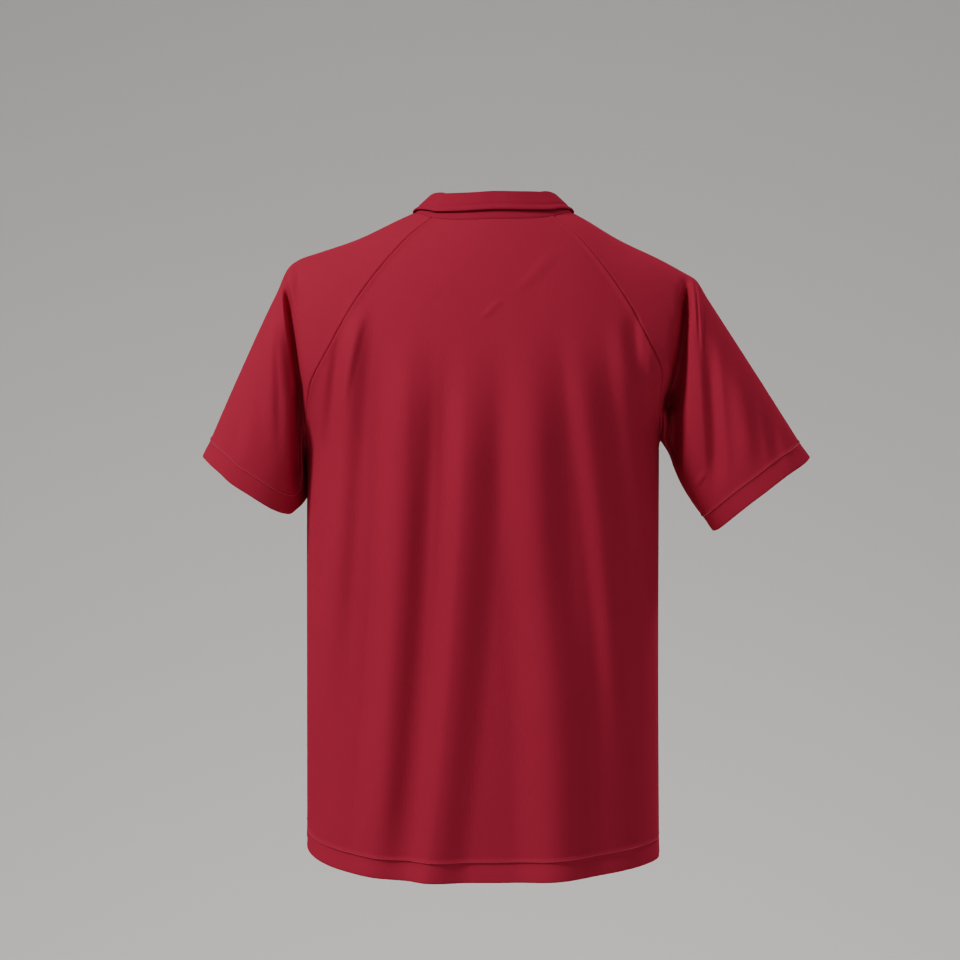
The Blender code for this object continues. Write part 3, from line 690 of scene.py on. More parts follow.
def ring_points(ring, turns):
    """A sleeve ring. Turn 0 is its top, and it goes round by the back."""
    top = np.array([ring.top_across, 0, ring.top_height])
    under = np.array([ring.under_across, 0, ring.under_height])
    along = np.sign(np.cos(turns)) * np.abs(np.cos(turns)) ** (2 / SLEEVE_POWER)
    out = np.abs(np.sin(turns)) ** (2 / SLEEVE_POWER)
    depth = out * np.where(np.sin(turns) > 0, ring.back, ring.front)
    points = (top + under) / 2 + np.outer(along, (top - under) / 2)
    return points + np.outer(depth, (ring.skew, 1.0, -ring.tilt)) + np.array([0.0, ring.middle, 0.0])


def evened(turns):
    """Turns over the same range, with no step much smaller than the least."""
    steps = np.maximum(np.diff(turns), LEAST_TURN)
    return turns[0] + np.append(0, np.cumsum(steps)) * (turns[-1] - turns[0]) / steps.sum()


def opening_turns(points, ring, armpit):
    """Turn on the sleeve's rings of each point of the opening, mostly the one at the same height."""
    neck = len(points) - SLEEVE_TOP_COLUMNS + 1
    low = points[armpit, 2]
    turns = []
    for line, top in ((points[:armpit], points[0, 2]), (points[armpit:neck], points[neck - 1, 2])):
        share = (line[:, 2] - low) / (top - low)
        match = (top - low) / (ring.top_height - ring.under_height)
        level = 2 * share * (match - (match - TOP_LEVEL) * share**3) - 1
        turn = np.arccos(np.sign(level) * np.abs(level) ** (SLEEVE_POWER / 2))
        turns.extend(2 * math.pi - turn if len(turns) else turn)
    turns = np.array(turns)
    turns[: armpit + 1] = evened(turns[: armpit + 1])
    turns[armpit:] = evened(turns[armpit:])
    over = np.linspace(0, 1, SLEEVE_TOP_COLUMNS + 1)[1:-1]
    return np.append(turns, turns[-1] + (2 * math.pi + turns[0] - turns[-1]) * over)


def sleeve_grid(side):
    """Outer points of a sleeve, from its opening to its cuff, each ring round from the back neck."""
    across, lean = opening_of(side)
    opening = form_points(across, lean)
    armpit = len(seam_climbs(1)) - 1
    rings = list(LEFT_RINGS if side > 0 else RIGHT_RINGS)
    rings[0] = rings[0]._replace(top_height=float(ridge_height(rings[0].top_across)))
    turns = opening_turns(opening, rings[0], armpit)
    knots = np.array([opening] + [ring_points(ring, turns) for ring in rings])
    # The first ring lies on the body form, apart from its lower end.
    edge_across, edge_lean = form_place(knots[1], np.sin(turns) >= 0)
    on_form = soft_step((np.cos(lean) - LOOSE_RISE) / LOOSE_FADE)[:, None]
    knots[1] = knots[1] * (1 - on_form) + form_points(edge_across, edge_lean) * on_form
    gaps = np.linalg.norm(np.diff(knots, axis=0), axis=2).mean(axis=1)
    keys = np.append(0, np.cumsum(gaps))
    slopes = np.gradient(knots, keys, axis=0)
    chord = knots[1] - knots[0]
    out = np.array([side, 0.0, SLEEVE_SET]) * np.linalg.norm(chord, axis=1)[:, None]
    slopes[0] = (chord * on_form + out * (1 - on_form)) / gaps[0]
    rows = []
    for place in np.linspace(0, keys[-1], COURSE_ROWS + 1):
        i = min(np.searchsorted(keys, place, side="right") - 1, len(keys) - 2)
        f = (place - keys[i]) / gaps[i]
        row = between(knots, slopes, i, gaps[i], f)
        if i == 0:
            form = form_points(across + (edge_across - across) * f, lean + (edge_lean - lean) * f)
            row = row * (1 - on_form) + form * on_form
        rows.append(row)
    cuts = lookup(CUFF_CUT, "left" if side > 0 else "right", np.degrees(turns) % 360)
    return cut_sleeve(np.array(rows), cuts, keys)


def cut_sleeve(plain, cuts, keys):
    """The sleeve with its cuff cut, its rows placed by the distance along each column."""
    first, last = EDGE_STEPS[-1], HEM_STEPS[-1]
    body = np.linspace(first, keys[1], BODY_ROWS + 1)[1:-1]
    hollow = np.linspace(keys[1], keys[3], HOLLOW_ROWS + 1)[:-1]
    arm = np.linspace(keys[3], keys[-1] - last, ARM_ROWS + 1)[:-1]
    shares = (np.concatenate([body, hollow, arm]) - first) / (keys[-1] - last - first)
    columns = []
    for j, cut in enumerate(cuts):
        line = plain[:, j]
        if cut < 0:
            line = np.concatenate([line, line[-1:] + unit(line[-1:] - line[-2:-1]) * -cut])
            cut = 0
        run = run_of(line)
        end = run[-1] - cut
        scale = min(1.0, 0.9 * end / (first + last))
        edge = EDGE_STEPS * scale
        cuff = end - HEM_STEPS[::-1] * scale
        at = np.concatenate([edge, edge[-1] + (cuff[0] - edge[-1]) * shares, cuff])
        columns.append(read_at(line, run, at))
    return np.array(columns).transpose(1, 0, 2)


# ---- The collar ----


def neck_line():
    """The neck seam, from the point of the V round by the wearer's right, the back and the left."""
    front = panel_grid(-1)[-1]
    middle = len(front) // 2
    count = SLEEVE_TOP_COLUMNS - 1
    right, left = (form_points(*(terms[-count:] for terms in opening_of(side))) for side in (-1, 1))
    return evenly(
        np.concatenate([front[middle::-1], right, panel_grid(1)[-1], left[::-1], front[middle:][::-1]]),
        COLLAR_COLUMNS,
    )


def seam_run(line):
    """Distance of each point of the neck line from the centre back, along the seam, negative on the right."""
    run = run_of(line)
    return run - run[-1] / 2


def collar_column(line, name):
    """One column of the collar's table, read along the neck line."""
    run = seam_run(line)
    return lookup(COLLAR, name, np.abs(run) / run[-1])[:, None]


def stand_frame(line):
    """The neckband's own directions along the neck line: up the cloth, and out of it."""
    inwards = unit(-line * np.array([1.0, 1.0, 0.0]))
    up = unit(inwards * collar_column(line, "lean") + np.array([0.0, 0.0, 1.0]))
    out = unit(np.cross(up, np.gradient(line + up * collar_column(line, "height"), axis=0)))
    out[[0, -1]] = unit(out[0] + out[-1])
    return up, out


def stand_grid(line):
    """Outer points of the neckband, from the neck seam up to the fold line."""
    up, _ = stand_frame(line)
    height = collar_column(line, "height")
    first = EDGE_STEPS[:BAND_EDGE_ROWS]
    rows = [line + up * step for step in first]
    for share in np.linspace(0, 1, BAND_ROWS + 1)[1:]:
        rows.append(line + up * (first[-1] + (height - first[-1]) * share))
    return np.array(rows)


def seam_crossing(line):
    """Where each line of the leaf crosses the neck seam. Towards the V the crossing slides up the seam."""
    run = seam_run(line)
    share = np.abs(run) / run[-1]
    slide = LEAF_SLIDE * soft_step((share - SLIDE_START) / (1 - SLIDE_START))
    return read_at(line, run, np.sign(run) * (np.abs(run) - slide))


def laid_points(crossing, reach, out):
    """Outer points of the leaf's edge over the body, at its reach past the neck seam."""
    middle = len(crossing) // 2
    at_back = crossing[:, 1] > 0
    normals = form_normals(*form_place(crossing, at_back))
    aside = unit(np.cross(normals, np.gradient(crossing, axis=0)))
    if aside[middle, 1] < 0:
        aside = -aside
    edge = crossing + aside * reach
    across, lean = form_place(edge, at_back)
    low_down = soft_step((np.abs(lean) - LAID_LEAN) / LAID_FADE)[:, None]
    edge = edge * (1 - low_down) + form_points(across, lean) * low_down
    edge_normals = unit(form_normals(across, lean) * low_down + normals * (1 - low_down))
    return edge + edge_normals * LEAF_LIFT, unit(normals + out)


def leaf_grid(line):
    """Outer points of the collar's leaf, from the fold line out and down to its edge."""
    up, out = stand_frame(line)
    reach = collar_column(line, "reach")
    top = line + up * collar_column(line, "height")
    # Lengths straight up from a slanting edge, for each unit square to it
    climb = up / np.linalg.norm(np.cross(up, unit(np.gradient(top, axis=0))), axis=1)[:, None]
    centre = top + climb * (SEAM_GAP + ROLL_RISE) + out * (ROLL_RADIUS - COLLAR_WALL)
    rows = [top + climb * SEAM_GAP - out * COLLAR_WALL]
    for angle in np.linspace(0, math.pi, ROLL_ROWS + 1):
        rows.append(centre + ROLL_RADIUS * (climb * math.sin(angle) - out * math.cos(angle)))
    start = rows[-1]
    crossing = seam_crossing(line)
    laid, lifted = laid_points(crossing, reach, out)
    hung = line - up * reach + out * LEAF_LIFT
    past = soft_step(0.5 + reach / REACH_FADE)
    edge = hung * (1 - past) + laid * past
    knee = crossing + lifted * (LEAF_LIFT + LEAF_SPRING)
    bent = soft_step(reach / KNEE_FADE)
    knee = knee * bent + (start + edge) / 2 * (1 - bent)
    steps = np.linspace(0, 1, LEAF_ROWS + 1)[1:]
    below = []
    for ends in zip(start, knee, edge):
        keys = run_of(np.array(ends))
        below.append(through(keys, ends, steps * keys[-1]))
    return np.concatenate([rows, np.array(below).transpose(1, 0, 2)])


# ---- Cloth pieces ----


def new_object(name, content):
    """An object in the scene for a mesh, a lamp or a camera."""
    made = bpy.data.objects.new(name, content)
    bpy.context.scene.collection.objects.link(made)
    return made


def grid_normals(grid, closed):
    """Outward unit normals of a grid of points."""
    down = np.gradient(grid, axis=0)
    if closed:
        around = np.concatenate([grid[:, -1:], grid, grid[:, :1]], axis=1)
        across = (around[:, 2:] - around[:, :-2]) / 2
    else:
        across = np.gradient(grid, axis=1)
    return unit(np.cross(across, down))


def raised(grid, closed, relief):
    """The grid with its points moved outwards by their relief."""
    return grid + grid_normals(grid, closed) * relief[:, :, None]


def distance_to(points, *lines):
    """Distance from each point to the nearest of the lines."""
    marks = [evenly(line, int(run_of(line)[-1] / SEAM_MARK_STEP) + 1) for line in lines]
    marks = np.concatenate(marks)
    tree = KDTree(len(marks))
    for i, mark in enumerate(marks):
        tree.insert(mark, i)
    tree.balance()
    flat = points.reshape(-1, 3)
    return np.array([tree.find(point)[2] for point in flat]).reshape(points.shape[:2])


def seam_relief(distance, depth, lip):
    """The groove that a seam pulls into the cloth, and the lip beside it, which slopes away gently."""
    rise = soft_step(distance / LIP_PLACE)
    beside = np.where(distance < LIP_PLACE, rise, bell(distance, LIP_PLACE, LIP_WIDTH))
    return lip * beside - depth * bell(distance, 0, GROOVE_WIDTH)


def hem_relief(distance, strength):
    """The cloth swells above the stitches of a hem, drops at them, and leans out a little below them."""
    rise = soft_step((distance - HEM_FOOT) / (HEM_LINE - HEM_FOOT))
    swell = np.where(distance > HEM_LINE, bell(distance, HEM_LINE, HEM_WIDTH), rise)
    return strength * (swell + HEM_FLARE * soft_step((HEM_FALL - distance) / HEM_FALL))


def hem_distances(rows, sleeve):
    """Distance of each row from the hem, as far as its relief reaches. A sleeve's hem is at its last row."""
    distances = np.full(rows, 1.0)
    distances[: len(HEM_STEPS)] = HEM_STEPS
    return distances[::-1] if sleeve else distances


def wall_of(grid, sleeve):
    """Thickness of each row, more where the cloth is turned up."""
    cloth = bpy.context.scene.jersey_cloth
    turned = soft_step((TURNED_UP - hem_distances(len(grid), sleeve)) / TURN_END)
    return cloth.thickness + (cloth.hem_thickness - cloth.thickness) * turned


def creased(grid):
    """The cloth with its long folds and its small creases."""
    strength = bpy.context.scene.jersey_cloth.crease_strength
    for face, long_folds, creases in ((1, BACK_FOLDS, BACK_CREASES), (-1, FRONT_FOLDS, FRONT_CREASES)):
        grid = folded(grid, face, long_folds)
        grid = folded(grid, face, [crease._replace(rise=crease.rise * strength) for crease in creases])
    return grid


def finished_panel(face):
    """The creased back or front with the relief of its seams and hem, in the order that faces outwards."""
    cloth = bpy.context.scene.jersey_cloth
    grid = creased(panel_grid(face))
    if face > 0:
        grid = grid[:, ::-1]
    sides = distance_to(grid, grid[:, 0], grid[:, -1])
    relief = seam_relief(sides, cloth.seam_depth, cloth.seam_lip)
    relief += seam_relief(distance_to(grid, grid[-1]), cloth.neck_seam_depth, cloth.seam_lip * NECK_LIP)
    # The side seams hold the hem flat.
    held = HEM_HELD + (1 - HEM_HELD) * soft_step((sides - HELD_START) / HELD_LENGTH)
    relief += hem_relief(hem_distances(len(grid), False), cloth.hem_swell)[:, None] * held
    return raised(grid, False, relief)


def finished_sleeve(side):
    """A creased sleeve with the relief of its seams and its cuff, in the order that faces outwards."""
    cloth = bpy.context.scene.jersey_cloth
    grid = creased(sleeve_grid(side))
    armpit = grid[:, len(seam_climbs(1)) - 1]
    neck = grid.shape[1] - SLEEVE_TOP_COLUMNS
    top = np.concatenate([grid[0, neck:], grid[0, :1]])
    seams = (
        (grid[0, : neck + 1], cloth.seam_depth, cloth.seam_lip * NECK_LIP),
        (top, cloth.neck_seam_depth, 0),
        (armpit, UNDERARM_DEPTH, UNDERARM_LIP),
    )
    if side > 0:
        grid = grid[:, ::-1]
    relief = sum(seam_relief(distance_to(grid, line), depth, lip) for line, depth, lip in seams)
    relief += hem_relief(hem_distances(len(grid), True), cloth.hem_swell * CUFF_RELIEF)[:, None]
    return raised(grid, True, relief)


def border_loops(rows, columns, closed):
    """The edges of a grid as loops of point numbers, in the order that closes them outwards."""
    first = list(range(columns))
    last = list(range((rows - 1) * columns, rows * columns))
    if closed:
        return [first + first[:1], (last + last[:1])[::-1]]
    left = list(range(0, rows * columns, columns))
    right = list(range(columns - 1, rows * columns, columns))
    return [first + right[1:] + last[::-1][1:] + left[::-1][1:]]


def outward_lead(grid, closed):
    """For each point on the border, the unit direction that leads out of the cloth in its own surface."""
    lead = np.zeros_like(grid)
    lead[0] += unit(grid[0] - grid[1])
    lead[-1] += unit(grid[-1] - grid[-2])
    if not closed:
        lead[:, 0] += unit(grid[:, 0] - grid[:, 1])
        lead[:, -1] += unit(grid[:, -1] - grid[:, -2])
    return lead


def flat_places(grid, closed):
    """Each point's place on the flat cloth in metres, across the wales and along them. A closed grid has one
    place more in each row, for the way back to its first point."""
    if closed:
        grid = np.concatenate([grid, grid[:, :1]], axis=1)
    steps = np.linalg.norm(np.diff(grid, axis=1), axis=2)
    across = np.concatenate([np.zeros((len(grid), 1)), np.cumsum(steps, axis=1)], axis=1)
    across = across - across[:, grid.shape[1] // 2][:, None]
    rises = np.linalg.norm(np.diff(grid, axis=0), axis=2).mean(axis=1)
    along = np.append(0, np.cumsum(rises))[:, None] + np.zeros(grid.shape[:2])
    return np.stack([across, along], -1)


def lip_layers(outer, inner, lead):
    """The points that round the edge of the cloth, layer by layer from its outer to its inner side."""
    middle, half = (outer + inner) / 2, (outer - inner) / 2
    angles = [math.pi * turn for turn in LIP_TURNS]
    return [middle + half * math.cos(angle) + lead * math.sin(angle) for angle in angles]


def cloth_mesh(name, grid, thickness, closed, free_rows, finish):
    """A closed shell from its outer points, going inwards, with rounded edges at its free rows."""
    rows, columns = grid.shape[:2]
    outer = grid.reshape(-1, 3)
    inner = (grid - grid_normals(grid, closed) * thickness[:, None, None]).reshape(-1, 3)
    count = len(outer)
    flat = flat_places(grid, closed)
    places = flat.shape[1]
    across = columns if closed else columns - 1
    i, j = np.meshgrid(np.arange(rows - 1), np.arange(across), indexing="ij")
    corners = np.stack([(i, j), (i, j + 1), (i + 1, j + 1), (i + 1, j)], -1).reshape(2, -1, 4)
    quads = corners[0] * columns + corners[1] % columns
    spots = corners[0] * places + corners[1]
    faces, spreads = [quads, quads[:, ::-1] + count], [spots, spots[:, ::-1]]
    bulge = np.zeros(rows)
    bulge[list(free_rows)] = thickness[list(free_rows)] / 2
    lead = (outward_lead(grid, closed) * bulge[:, None, None]).reshape(-1, 3)
    points = [outer, inner]
    total = 2 * count
    for loop in border_loops(rows, columns, closed):
        ring, ahead = np.array(loop[:-1]), np.array(loop[1:])
        here, there = ring // columns * places + ring % columns, ahead // columns * places + ahead % columns
        layers = [ring]
        for layer in lip_layers(outer[ring], inner[ring], lead[ring]):
            points.append(layer)
            layers.append(total + np.arange(len(ring)))
            total += len(ring)
        layers.append(ring + count)
        for upper, lower in zip(layers, layers[1:]):
            faces.append(np.stack([np.roll(upper, -1), upper, lower, np.roll(lower, -1)], -1))
            spreads.append(np.stack([there, here, here, there], -1))
    mesh = bpy.data.meshes.new(name)
    mesh.from_pydata(np.concatenate(points).tolist(), [], np.concatenate(faces).tolist())
    layer = mesh.uv_layers.new(name="flat_cloth")
    layer.data.foreach_set("uv", flat.reshape(-1, 2)[np.concatenate(spreads).reshape(-1)].reshape(-1))
    mesh.shade_smooth()
    mesh.materials.append(finish)
    return new_object(name, mesh)


def make_cloth(node, grid, thickness, free_rows, finish, closed=False):
    sheet = PIECES[node]
    piece = cloth_mesh(sheet.name, grid, thickness, closed, free_rows, finish)
    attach(piece, "root")
    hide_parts(node)


# ---- Materials ----

YARN_SCALE = 900.0  # yarns about 1 mm apart. The real ones are too fine to show, so they are drawn wider
PATCH_SCALE = 9.0  # patches of shade about 110 mm wide
PLY_SCALE = 2500.0  # plies of the thread about 0.4 mm long


def add_node(tree, kind, *values, **named):
    """Adds a node. Its inputs get values or other nodes' outputs, in order or by name. Names in small letters
    are its settings. A node that is given as a value stands for its first output."""
    node = tree.nodes.new(kind)
    for key in [key for key in named if key.islower()]:
        setattr(node, key, named.pop(key))
    for key, value in [*enumerate(values), *named.items()]:
        if isinstance(value, bpy.types.Node):
            value = value.outputs[0]
        if isinstance(value, bpy.types.NodeSocket):
            tree.links.new(value, node.inputs[key])
        else:
            node.inputs[key].default_value = value
    return node


def new_material(name):
    """A material with an empty tree of nodes, and that tree."""
    made = bpy.data.materials.new(name)
    made.use_nodes = True
    made.node_tree.nodes.clear()
    return made, made.node_tree


def surfaced(made, inputs):
    """The material, with its shader's inputs set and its output joined."""
    shader = add_node(made.node_tree, "ShaderNodeBsdfPrincipled", **inputs)
    add_node(made.node_tree, "ShaderNodeOutputMaterial", Surface=shader)
    return made


def knit_material(name, colour):
    """Polyester knit: smooth, close loops in columns. A soft, even surface without gloss, and a faint bright
    edge where the cloth turns away."""
    pitch = bpy.context.scene.jersey_cloth.wale_pitch
    made, tree = new_material(name)
    place = add_node(tree, "ShaderNodeUVMap", uv_map="flat_cloth")
    split = add_node(tree, "ShaderNodeSeparateXYZ", place)
    # The real loops are about 0.6 mm apart, too fine to show, so they are drawn wider.
    across = add_node(tree, "ShaderNodeMath", split.outputs["X"], pitch, operation="DIVIDE")
    course = add_node(tree, "ShaderNodeMath", split.outputs["Y"], pitch * 1.3, operation="DIVIDE")
    wale = add_node(tree, "ShaderNodeMath", across, 0.5, operation="PINGPONG")
    slant = add_node(tree, "ShaderNodeMath", course, wale, operation="ADD")
    loop = add_node(tree, "ShaderNodeMath", slant, 0.5, operation="PINGPONG")
    where = add_node(tree, "ShaderNodeTexCoord").outputs["Object"]
    yarn = add_node(tree, "ShaderNodeTexNoise", where, Scale=YARN_SCALE, Detail=3.0, Roughness=0.6)
    patch = add_node(tree, "ShaderNodeTexNoise", where, Scale=PATCH_SCALE, Detail=4.0, Roughness=0.55)
    height = add_node(tree, "ShaderNodeMath", wale, 1.3, operation="MULTIPLY")
    for part, share in ((loop, 0.8), (yarn, 0.7)):
        height = add_node(tree, "ShaderNodeMath", part, share, height, operation="MULTIPLY_ADD")
    bump = add_node(tree, "ShaderNodeBump", Strength=0.22, Distance=0.0003, Height=height)
    mottled = add_node(tree, "ShaderNodeMath", patch, 0.10, 0.90, operation="MULTIPLY_ADD")
    # Painted shade: the colour darkens where the knit's bump is low, in the hollows between its loops and
    # yarns. The base colour is the random mottling times this painted shade.
    painted_hollow_shade = add_node(tree, "ShaderNodeMath", height, 0.08, 0.92, operation="MULTIPLY_ADD")
    shade = add_node(tree, "ShaderNodeMath", mottled, painted_hollow_shade, operation="MULTIPLY")
    inputs = {
        "Base Color": add_node(tree, "ShaderNodeVectorMath", tuple(colour), operation="SCALE", Scale=shade),
        "Roughness": add_node(tree, "ShaderNodeMath", patch, 0.10, 0.52, operation="MULTIPLY_ADD"),
        "Normal": bump,
        "Specular IOR Level": 0.0,
        "Sheen Weight": 0.16,
        "Sheen Roughness": 0.20,
        "Sheen Tint": (*linear("#FF8199"), 1.0),
    }
    return surfaced(made, inputs)


def thread_material():
    """Spun polyester sewing thread: matt, a little lighter than the knit, so each stitch shows."""
    made, tree = new_material("spun_polyester_thread")
    where = add_node(tree, "ShaderNodeTexCoord").outputs["Object"]
    ply = add_node(tree, "ShaderNodeTexNoise", where, Scale=PLY_SCALE, Detail=2.0)
    bump = add_node(tree, "ShaderNodeBump", Strength=0.4, Distance=0.0001, Height=ply)
    colour = (*bpy.context.scene.jersey_stitching.colour, 1.0)
    return surfaced(made, {"Base Color": colour, "Roughness": 0.6, "Normal": bump, "Sheen Weight": 0.2})


def stage_material():
    """Seamless paper backdrop: pale, matt and even."""
    made, _ = new_material("seamless_paper")
    colour = (*bpy.context.scene.jersey_stage.floor_colour, 1.0)
    return surfaced(made, {"Base Color": colour, "Roughness": 0.9, "Specular IOR Level": 0.1})


# ---- Stitches ----


def stitch_tree():
    """A node tree that lays a stitch along each edge line, one stitch length apart."""
    tree = bpy.data.node_groups.new("stitch_row", "GeometryNodeTree")
    interface = tree.interface
    interface.new_socket("Geometry", in_out="INPUT", socket_type="NodeSocketGeometry")
    for label, low in (("Stitch length", 0.001), ("Thread width", 0.0001)):
        interface.new_socket(label, in_out="INPUT", socket_type="NodeSocketFloat").min_value = low
    interface.new_socket("Thread", in_out="INPUT", socket_type="NodeSocketMaterial")
    interface.new_socket("Geometry", in_out="OUTPUT", socket_type="NodeSocketGeometry")
    given = tree.nodes.new("NodeGroupInput").outputs
    length, width = given["Stitch length"], given["Thread width"]
    curve = add_node(tree, "GeometryNodeMeshToCurve", given["Geometry"])
    spaced = add_node(tree, "GeometryNodeResampleCurve", mode="LENGTH", Curve=curve, Length=length)
    bead = add_node(tree, "GeometryNodeMeshUVSphere", Segments=8, Rings=6, Radius=0.5)
    long = add_node(tree, "ShaderNodeMath", length, 0.78, operation="MULTIPLY")
    high = add_node(tree, "ShaderNodeMath", width, 0.8, operation="MULTIPLY")
    size = add_node(tree, "ShaderNodeCombineXYZ", long, width, high)
    shaped = add_node(tree, "GeometryNodeTransform", Geometry=bead, Scale=size)
    along = add_node(tree, "GeometryNodeInputTangent")
    out = add_node(tree, "GeometryNodeInputNamedAttribute", data_type="FLOAT_VECTOR", Name="out")
    align = "FunctionNodeAlignRotationToVector"
    facing = add_node(tree, align, axis="Z", Vector=out)
    turned = add_node(tree, align, axis="X", pivot_axis="Z", Rotation=facing, Vector=along)
    placed = add_node(tree, "GeometryNodeInstanceOnPoints", spaced, Instance=shaped, Rotation=turned)
    real = add_node(tree, "GeometryNodeRealizeInstances", placed)
    dyed = add_node(tree, "GeometryNodeSetMaterial", Geometry=real, Material=given["Thread"])
    add_node(tree, "NodeGroupOutput", Geometry=dyed)
    return tree


def stitched(name, lines, thread):
    """One mesh of stitches along lines of points and their outward normals."""
    stitching = bpy.context.scene.jersey_stitching
    points, normals, edges = [], [], []
    for line, out in lines:
        start = len(points)
        points.extend(line.tolist())
        normals.extend(out.tolist())
        edges.extend((start + k, start + k + 1) for k in range(len(line) - 1))
    mesh = bpy.data.meshes.new(name + "_path")
    mesh.from_pydata(points, edges, [])
    layer = mesh.attributes.new("out", "FLOAT_VECTOR", "POINT")
    layer.data.foreach_set("vector", np.array(normals).reshape(-1))
    path = new_object(name + "_path", mesh)
    modifier = path.modifiers.new("stitches", "NODES")
    modifier.node_group = stitch_tree()
    values = {"Stitch length": stitching.length, "Thread width": stitching.width, "Thread": thread}
    for item in modifier.node_group.interface.items_tree:
        if item.in_out == "INPUT" and item.name in values:
            modifier[item.identifier] = values[item.name]
    bpy.context.view_layer.update()
    graph = bpy.context.evaluated_depsgraph_get()
    baked = bpy.data.meshes.new_from_object(path.evaluated_get(graph), depsgraph=graph)
    path.modifiers.remove(modifier)
    bpy.data.objects.remove(path, do_unlink=True)
    if len(baked.polygons) == 0:
        raise RuntimeError(name + " has no stitches")
    baked.shade_smooth()
    return new_object(name, baked)


def hem_row(grid, sleeve, place, sink):
    """A line on a grid between its rows, at a distance from the hem, with its outward normals."""
    distances = hem_distances(len(grid), sleeve)
    order = np.argsort(distances)
    keys = distances[order]
    read = []
    for field in (grid[order], grid_normals(grid, sleeve)[order]):
        row = np.array([read_at(field[:, j], keys, [place])[0] for j in range(grid.shape[1])])
        read.append(np.append(row, row[:1], axis=0) if sleeve else row)
    out = unit(read[1])
    return read[0] + out * sink, out


# ---- Stage ----


def cove_mesh(floor_height):
    """A round floor that curves up into a wall."""
    profile = [(COVE_START, 0.0)]
    for turn in np.linspace(COVE_FIRST_TURN, math.pi / 2, COVE_RINGS):
        profile.append((COVE_START + COVE_RADIUS * math.sin(turn), COVE_RADIUS * (1 - math.cos(turn))))
    profile.append(COVE_RIM)
    around = np.linspace(0, 2 * math.pi, COVE_SIDES + 1)[:-1]
    points = [(r * math.cos(a), r * math.sin(a), floor_height + h) for r, h in profile for a in around]
    points.append((0.0, 0.0, floor_height))
    faces = []
    for j in range(COVE_SIDES):
        k = (j + 1) % COVE_SIDES
        faces.append((len(points) - 1, j, k))
        for low in range(0, len(points) - 1 - COVE_SIDES, COVE_SIDES):
            high = low + COVE_SIDES
            faces.append((high + j, high + k, low + k, low + j))
    mesh = bpy.data.meshes.new("cove")
    mesh.from_pydata(points, [], faces)
    mesh.shade_smooth()
    mesh.materials.append(stage_material())
    return mesh


# ---- Operators ----


class JERSEY_OT_stage(bpy.types.Operator):
    """Make the floor, the soft lights and the camera behind the jersey"""

    bl_idname = "jersey.stage"
    bl_label = "Stage"

    def execute(self, context):
        stage = context.scene.jersey_stage
        new_object("cove", cove_mesh(stage.floor_height))
        for light in LIGHTS:
            lamp = bpy.data.lights.new(light.name, "AREA")
            lamp.shape = "DISK"
            lamp.size = light.size
            lamp.energy = getattr(stage, light.source) * light.share
            thing = new_object(light.name, lamp)
            thing.location = light.place
            way = Vector(light.aim) - Vector(light.place)
            thing.rotation_euler = way.to_track_quat("-Z", "Y").to_euler()
        world = bpy.data.worlds.new("soft_sky")
        world.use_nodes = True
        sky = world.node_tree.nodes["Background"].inputs
        sky["Color"].default_value = (*linear("#FFFFFF"), 1.0)
        sky["Strength"].default_value = stage.sky
        context.scene.world = world
        camera = bpy.data.cameras.new("camera")
        camera.sensor_width = 36.0
        camera.lens = CAMERA_LENS
        view = new_object("camera", camera)
        view.location = CAMERA_PLACE
        view.rotation_euler = (math.pi / 2, 0.0, math.pi)
        context.scene.camera = view
        return {"FINISHED"}


class JERSEY_OT_panels(bpy.types.Operator):
    """Make the back and the front, from the hem to the neck seam"""

    bl_idname = "jersey.panels"
    bl_label = "Panels"

    def execute(self, context):
        knit = knit_material("polyester_interlock_knit", context.scene.jersey_cloth.body_colour)
        for node, face in (("back", 1), ("front", -1)):
            grid = finished_panel(face)
            make_cloth(node, grid, wall_of(grid, False), [0], knit)
        return {"FINISHED"}


class JERSEY_OT_sleeves(bpy.types.Operator):
    """Make both raglan sleeves, from the neck seam to the cuffs"""

    bl_idname = "jersey.sleeves"
    bl_label = "Sleeves"

    def execute(self, context):
        knit = bpy.data.materials["polyester_interlock_knit"]
        for node, side in (("sleeve_left", 1), ("sleeve_right", -1)):
            grid = finished_sleeve(side)
            make_cloth(node, grid, wall_of(grid, True), [-1], knit, closed=True)
        return {"FINISHED"}


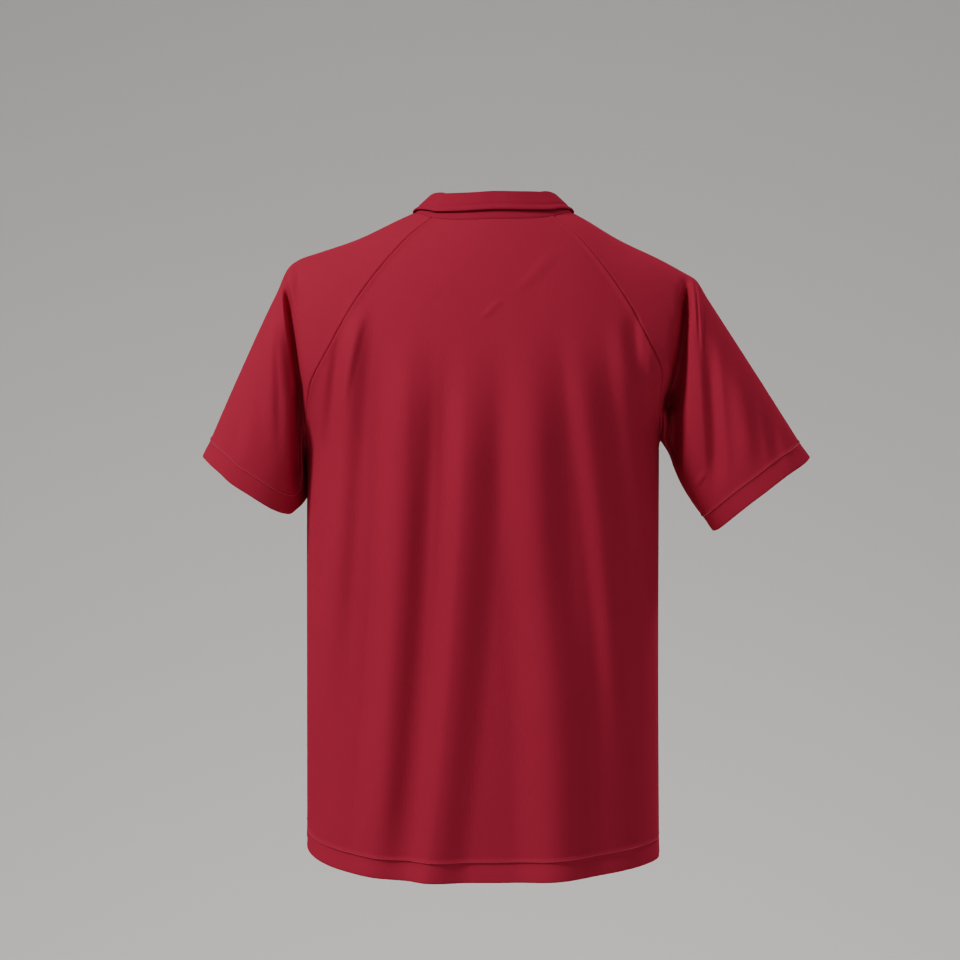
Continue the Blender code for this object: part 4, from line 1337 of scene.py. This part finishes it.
class JERSEY_OT_collar(bpy.types.Operator):
    """Make the neckband and the leaf that folds down over it"""

    bl_idname = "jersey.collar"
    bl_label = "Collar"

    def execute(self, context):
        cloth = context.scene.jersey_cloth
        knit = knit_material("polyester_double_knit", cloth.collar_colour)
        line = neck_line()
        band = stand_grid(line)[:, ::-1]
        relief = seam_relief(distance_to(band, band[0]), cloth.neck_seam_depth, cloth.seam_lip * BAND_LIP)
        band = raised(band, False, relief)
        make_cloth("collar_stand", band, np.full(len(band), COLLAR_WALL), [-1], knit)
        leaf = leaf_grid(line)
        below = np.linalg.norm(leaf - leaf[-1:], axis=2)
        swell = bell(below, LEAF_SWELL, LEAF_SWELL_WIDTH) - bell(below, LEAF_DIP, LEAF_DIP_WIDTH)
        leaf = raised(leaf, False, LEAF_RELIEF * swell)
        make_cloth("collar_leaf", leaf, np.full(len(leaf), COLLAR_WALL), [0, -1], knit)
        return {"FINISHED"}


class JERSEY_OT_stitching(bpy.types.Operator):
    """Sew the hem and the cuffs"""

    bl_idname = "jersey.stitching"
    bl_label = "Stitching"

    def execute(self, context):
        stitching = context.scene.jersey_stitching
        sink = stitching.width * 0.1
        lines = [hem_row(finished_panel(face), False, stitching.place, sink) for face in (1, -1)]
        lines += [hem_row(finished_sleeve(side), True, stitching.place, sink) for side in (1, -1)]
        piece = stitched("hem_and_cuff_stitches", lines, thread_material())
        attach(piece, "root")
        return {"FINISHED"}


class JERSEY_PT_panel(bpy.types.Panel):
    """Lists the jersey's pieces and sizes"""

    bl_idname = "JERSEY_PT_panel"
    bl_label = "Football Jersey"
    bl_space_type = "VIEW_3D"
    bl_region_type = "UI"
    bl_category = "Jersey"

    def draw(self, context):
        for name in GROUPS:
            group = getattr(context.scene, name)
            box = self.layout.box()
            for key in group.__annotations__:
                box.prop(group, key)
        for kind in OPERATORS:
            self.layout.operator(kind.bl_idname)


GROUPS = {"jersey_cloth": JerseyCloth, "jersey_stitching": JerseyStitching, "jersey_stage": JerseyStage}
OPERATORS = (JERSEY_OT_stage, JERSEY_OT_panels, JERSEY_OT_sleeves, JERSEY_OT_collar, JERSEY_OT_stitching)


def register():
    for kind in (*GROUPS.values(), *OPERATORS, JERSEY_PT_panel):
        bpy.utils.register_class(kind)
    for name, group in GROUPS.items():
        setattr(bpy.types.Scene, name, PointerProperty(type=group))


def unregister():
    for name in GROUPS:
        delattr(bpy.types.Scene, name)
    for kind in (JERSEY_PT_panel, *OPERATORS[::-1], *GROUPS.values()):
        bpy.utils.unregister_class(kind)


def main():
    register()
    bpy.ops.jersey.stage()
    bpy.ops.jersey.panels()
    bpy.ops.jersey.sleeves()
    bpy.ops.jersey.collar()
    bpy.ops.jersey.stitching()


if __name__ == "__main__":
    main()
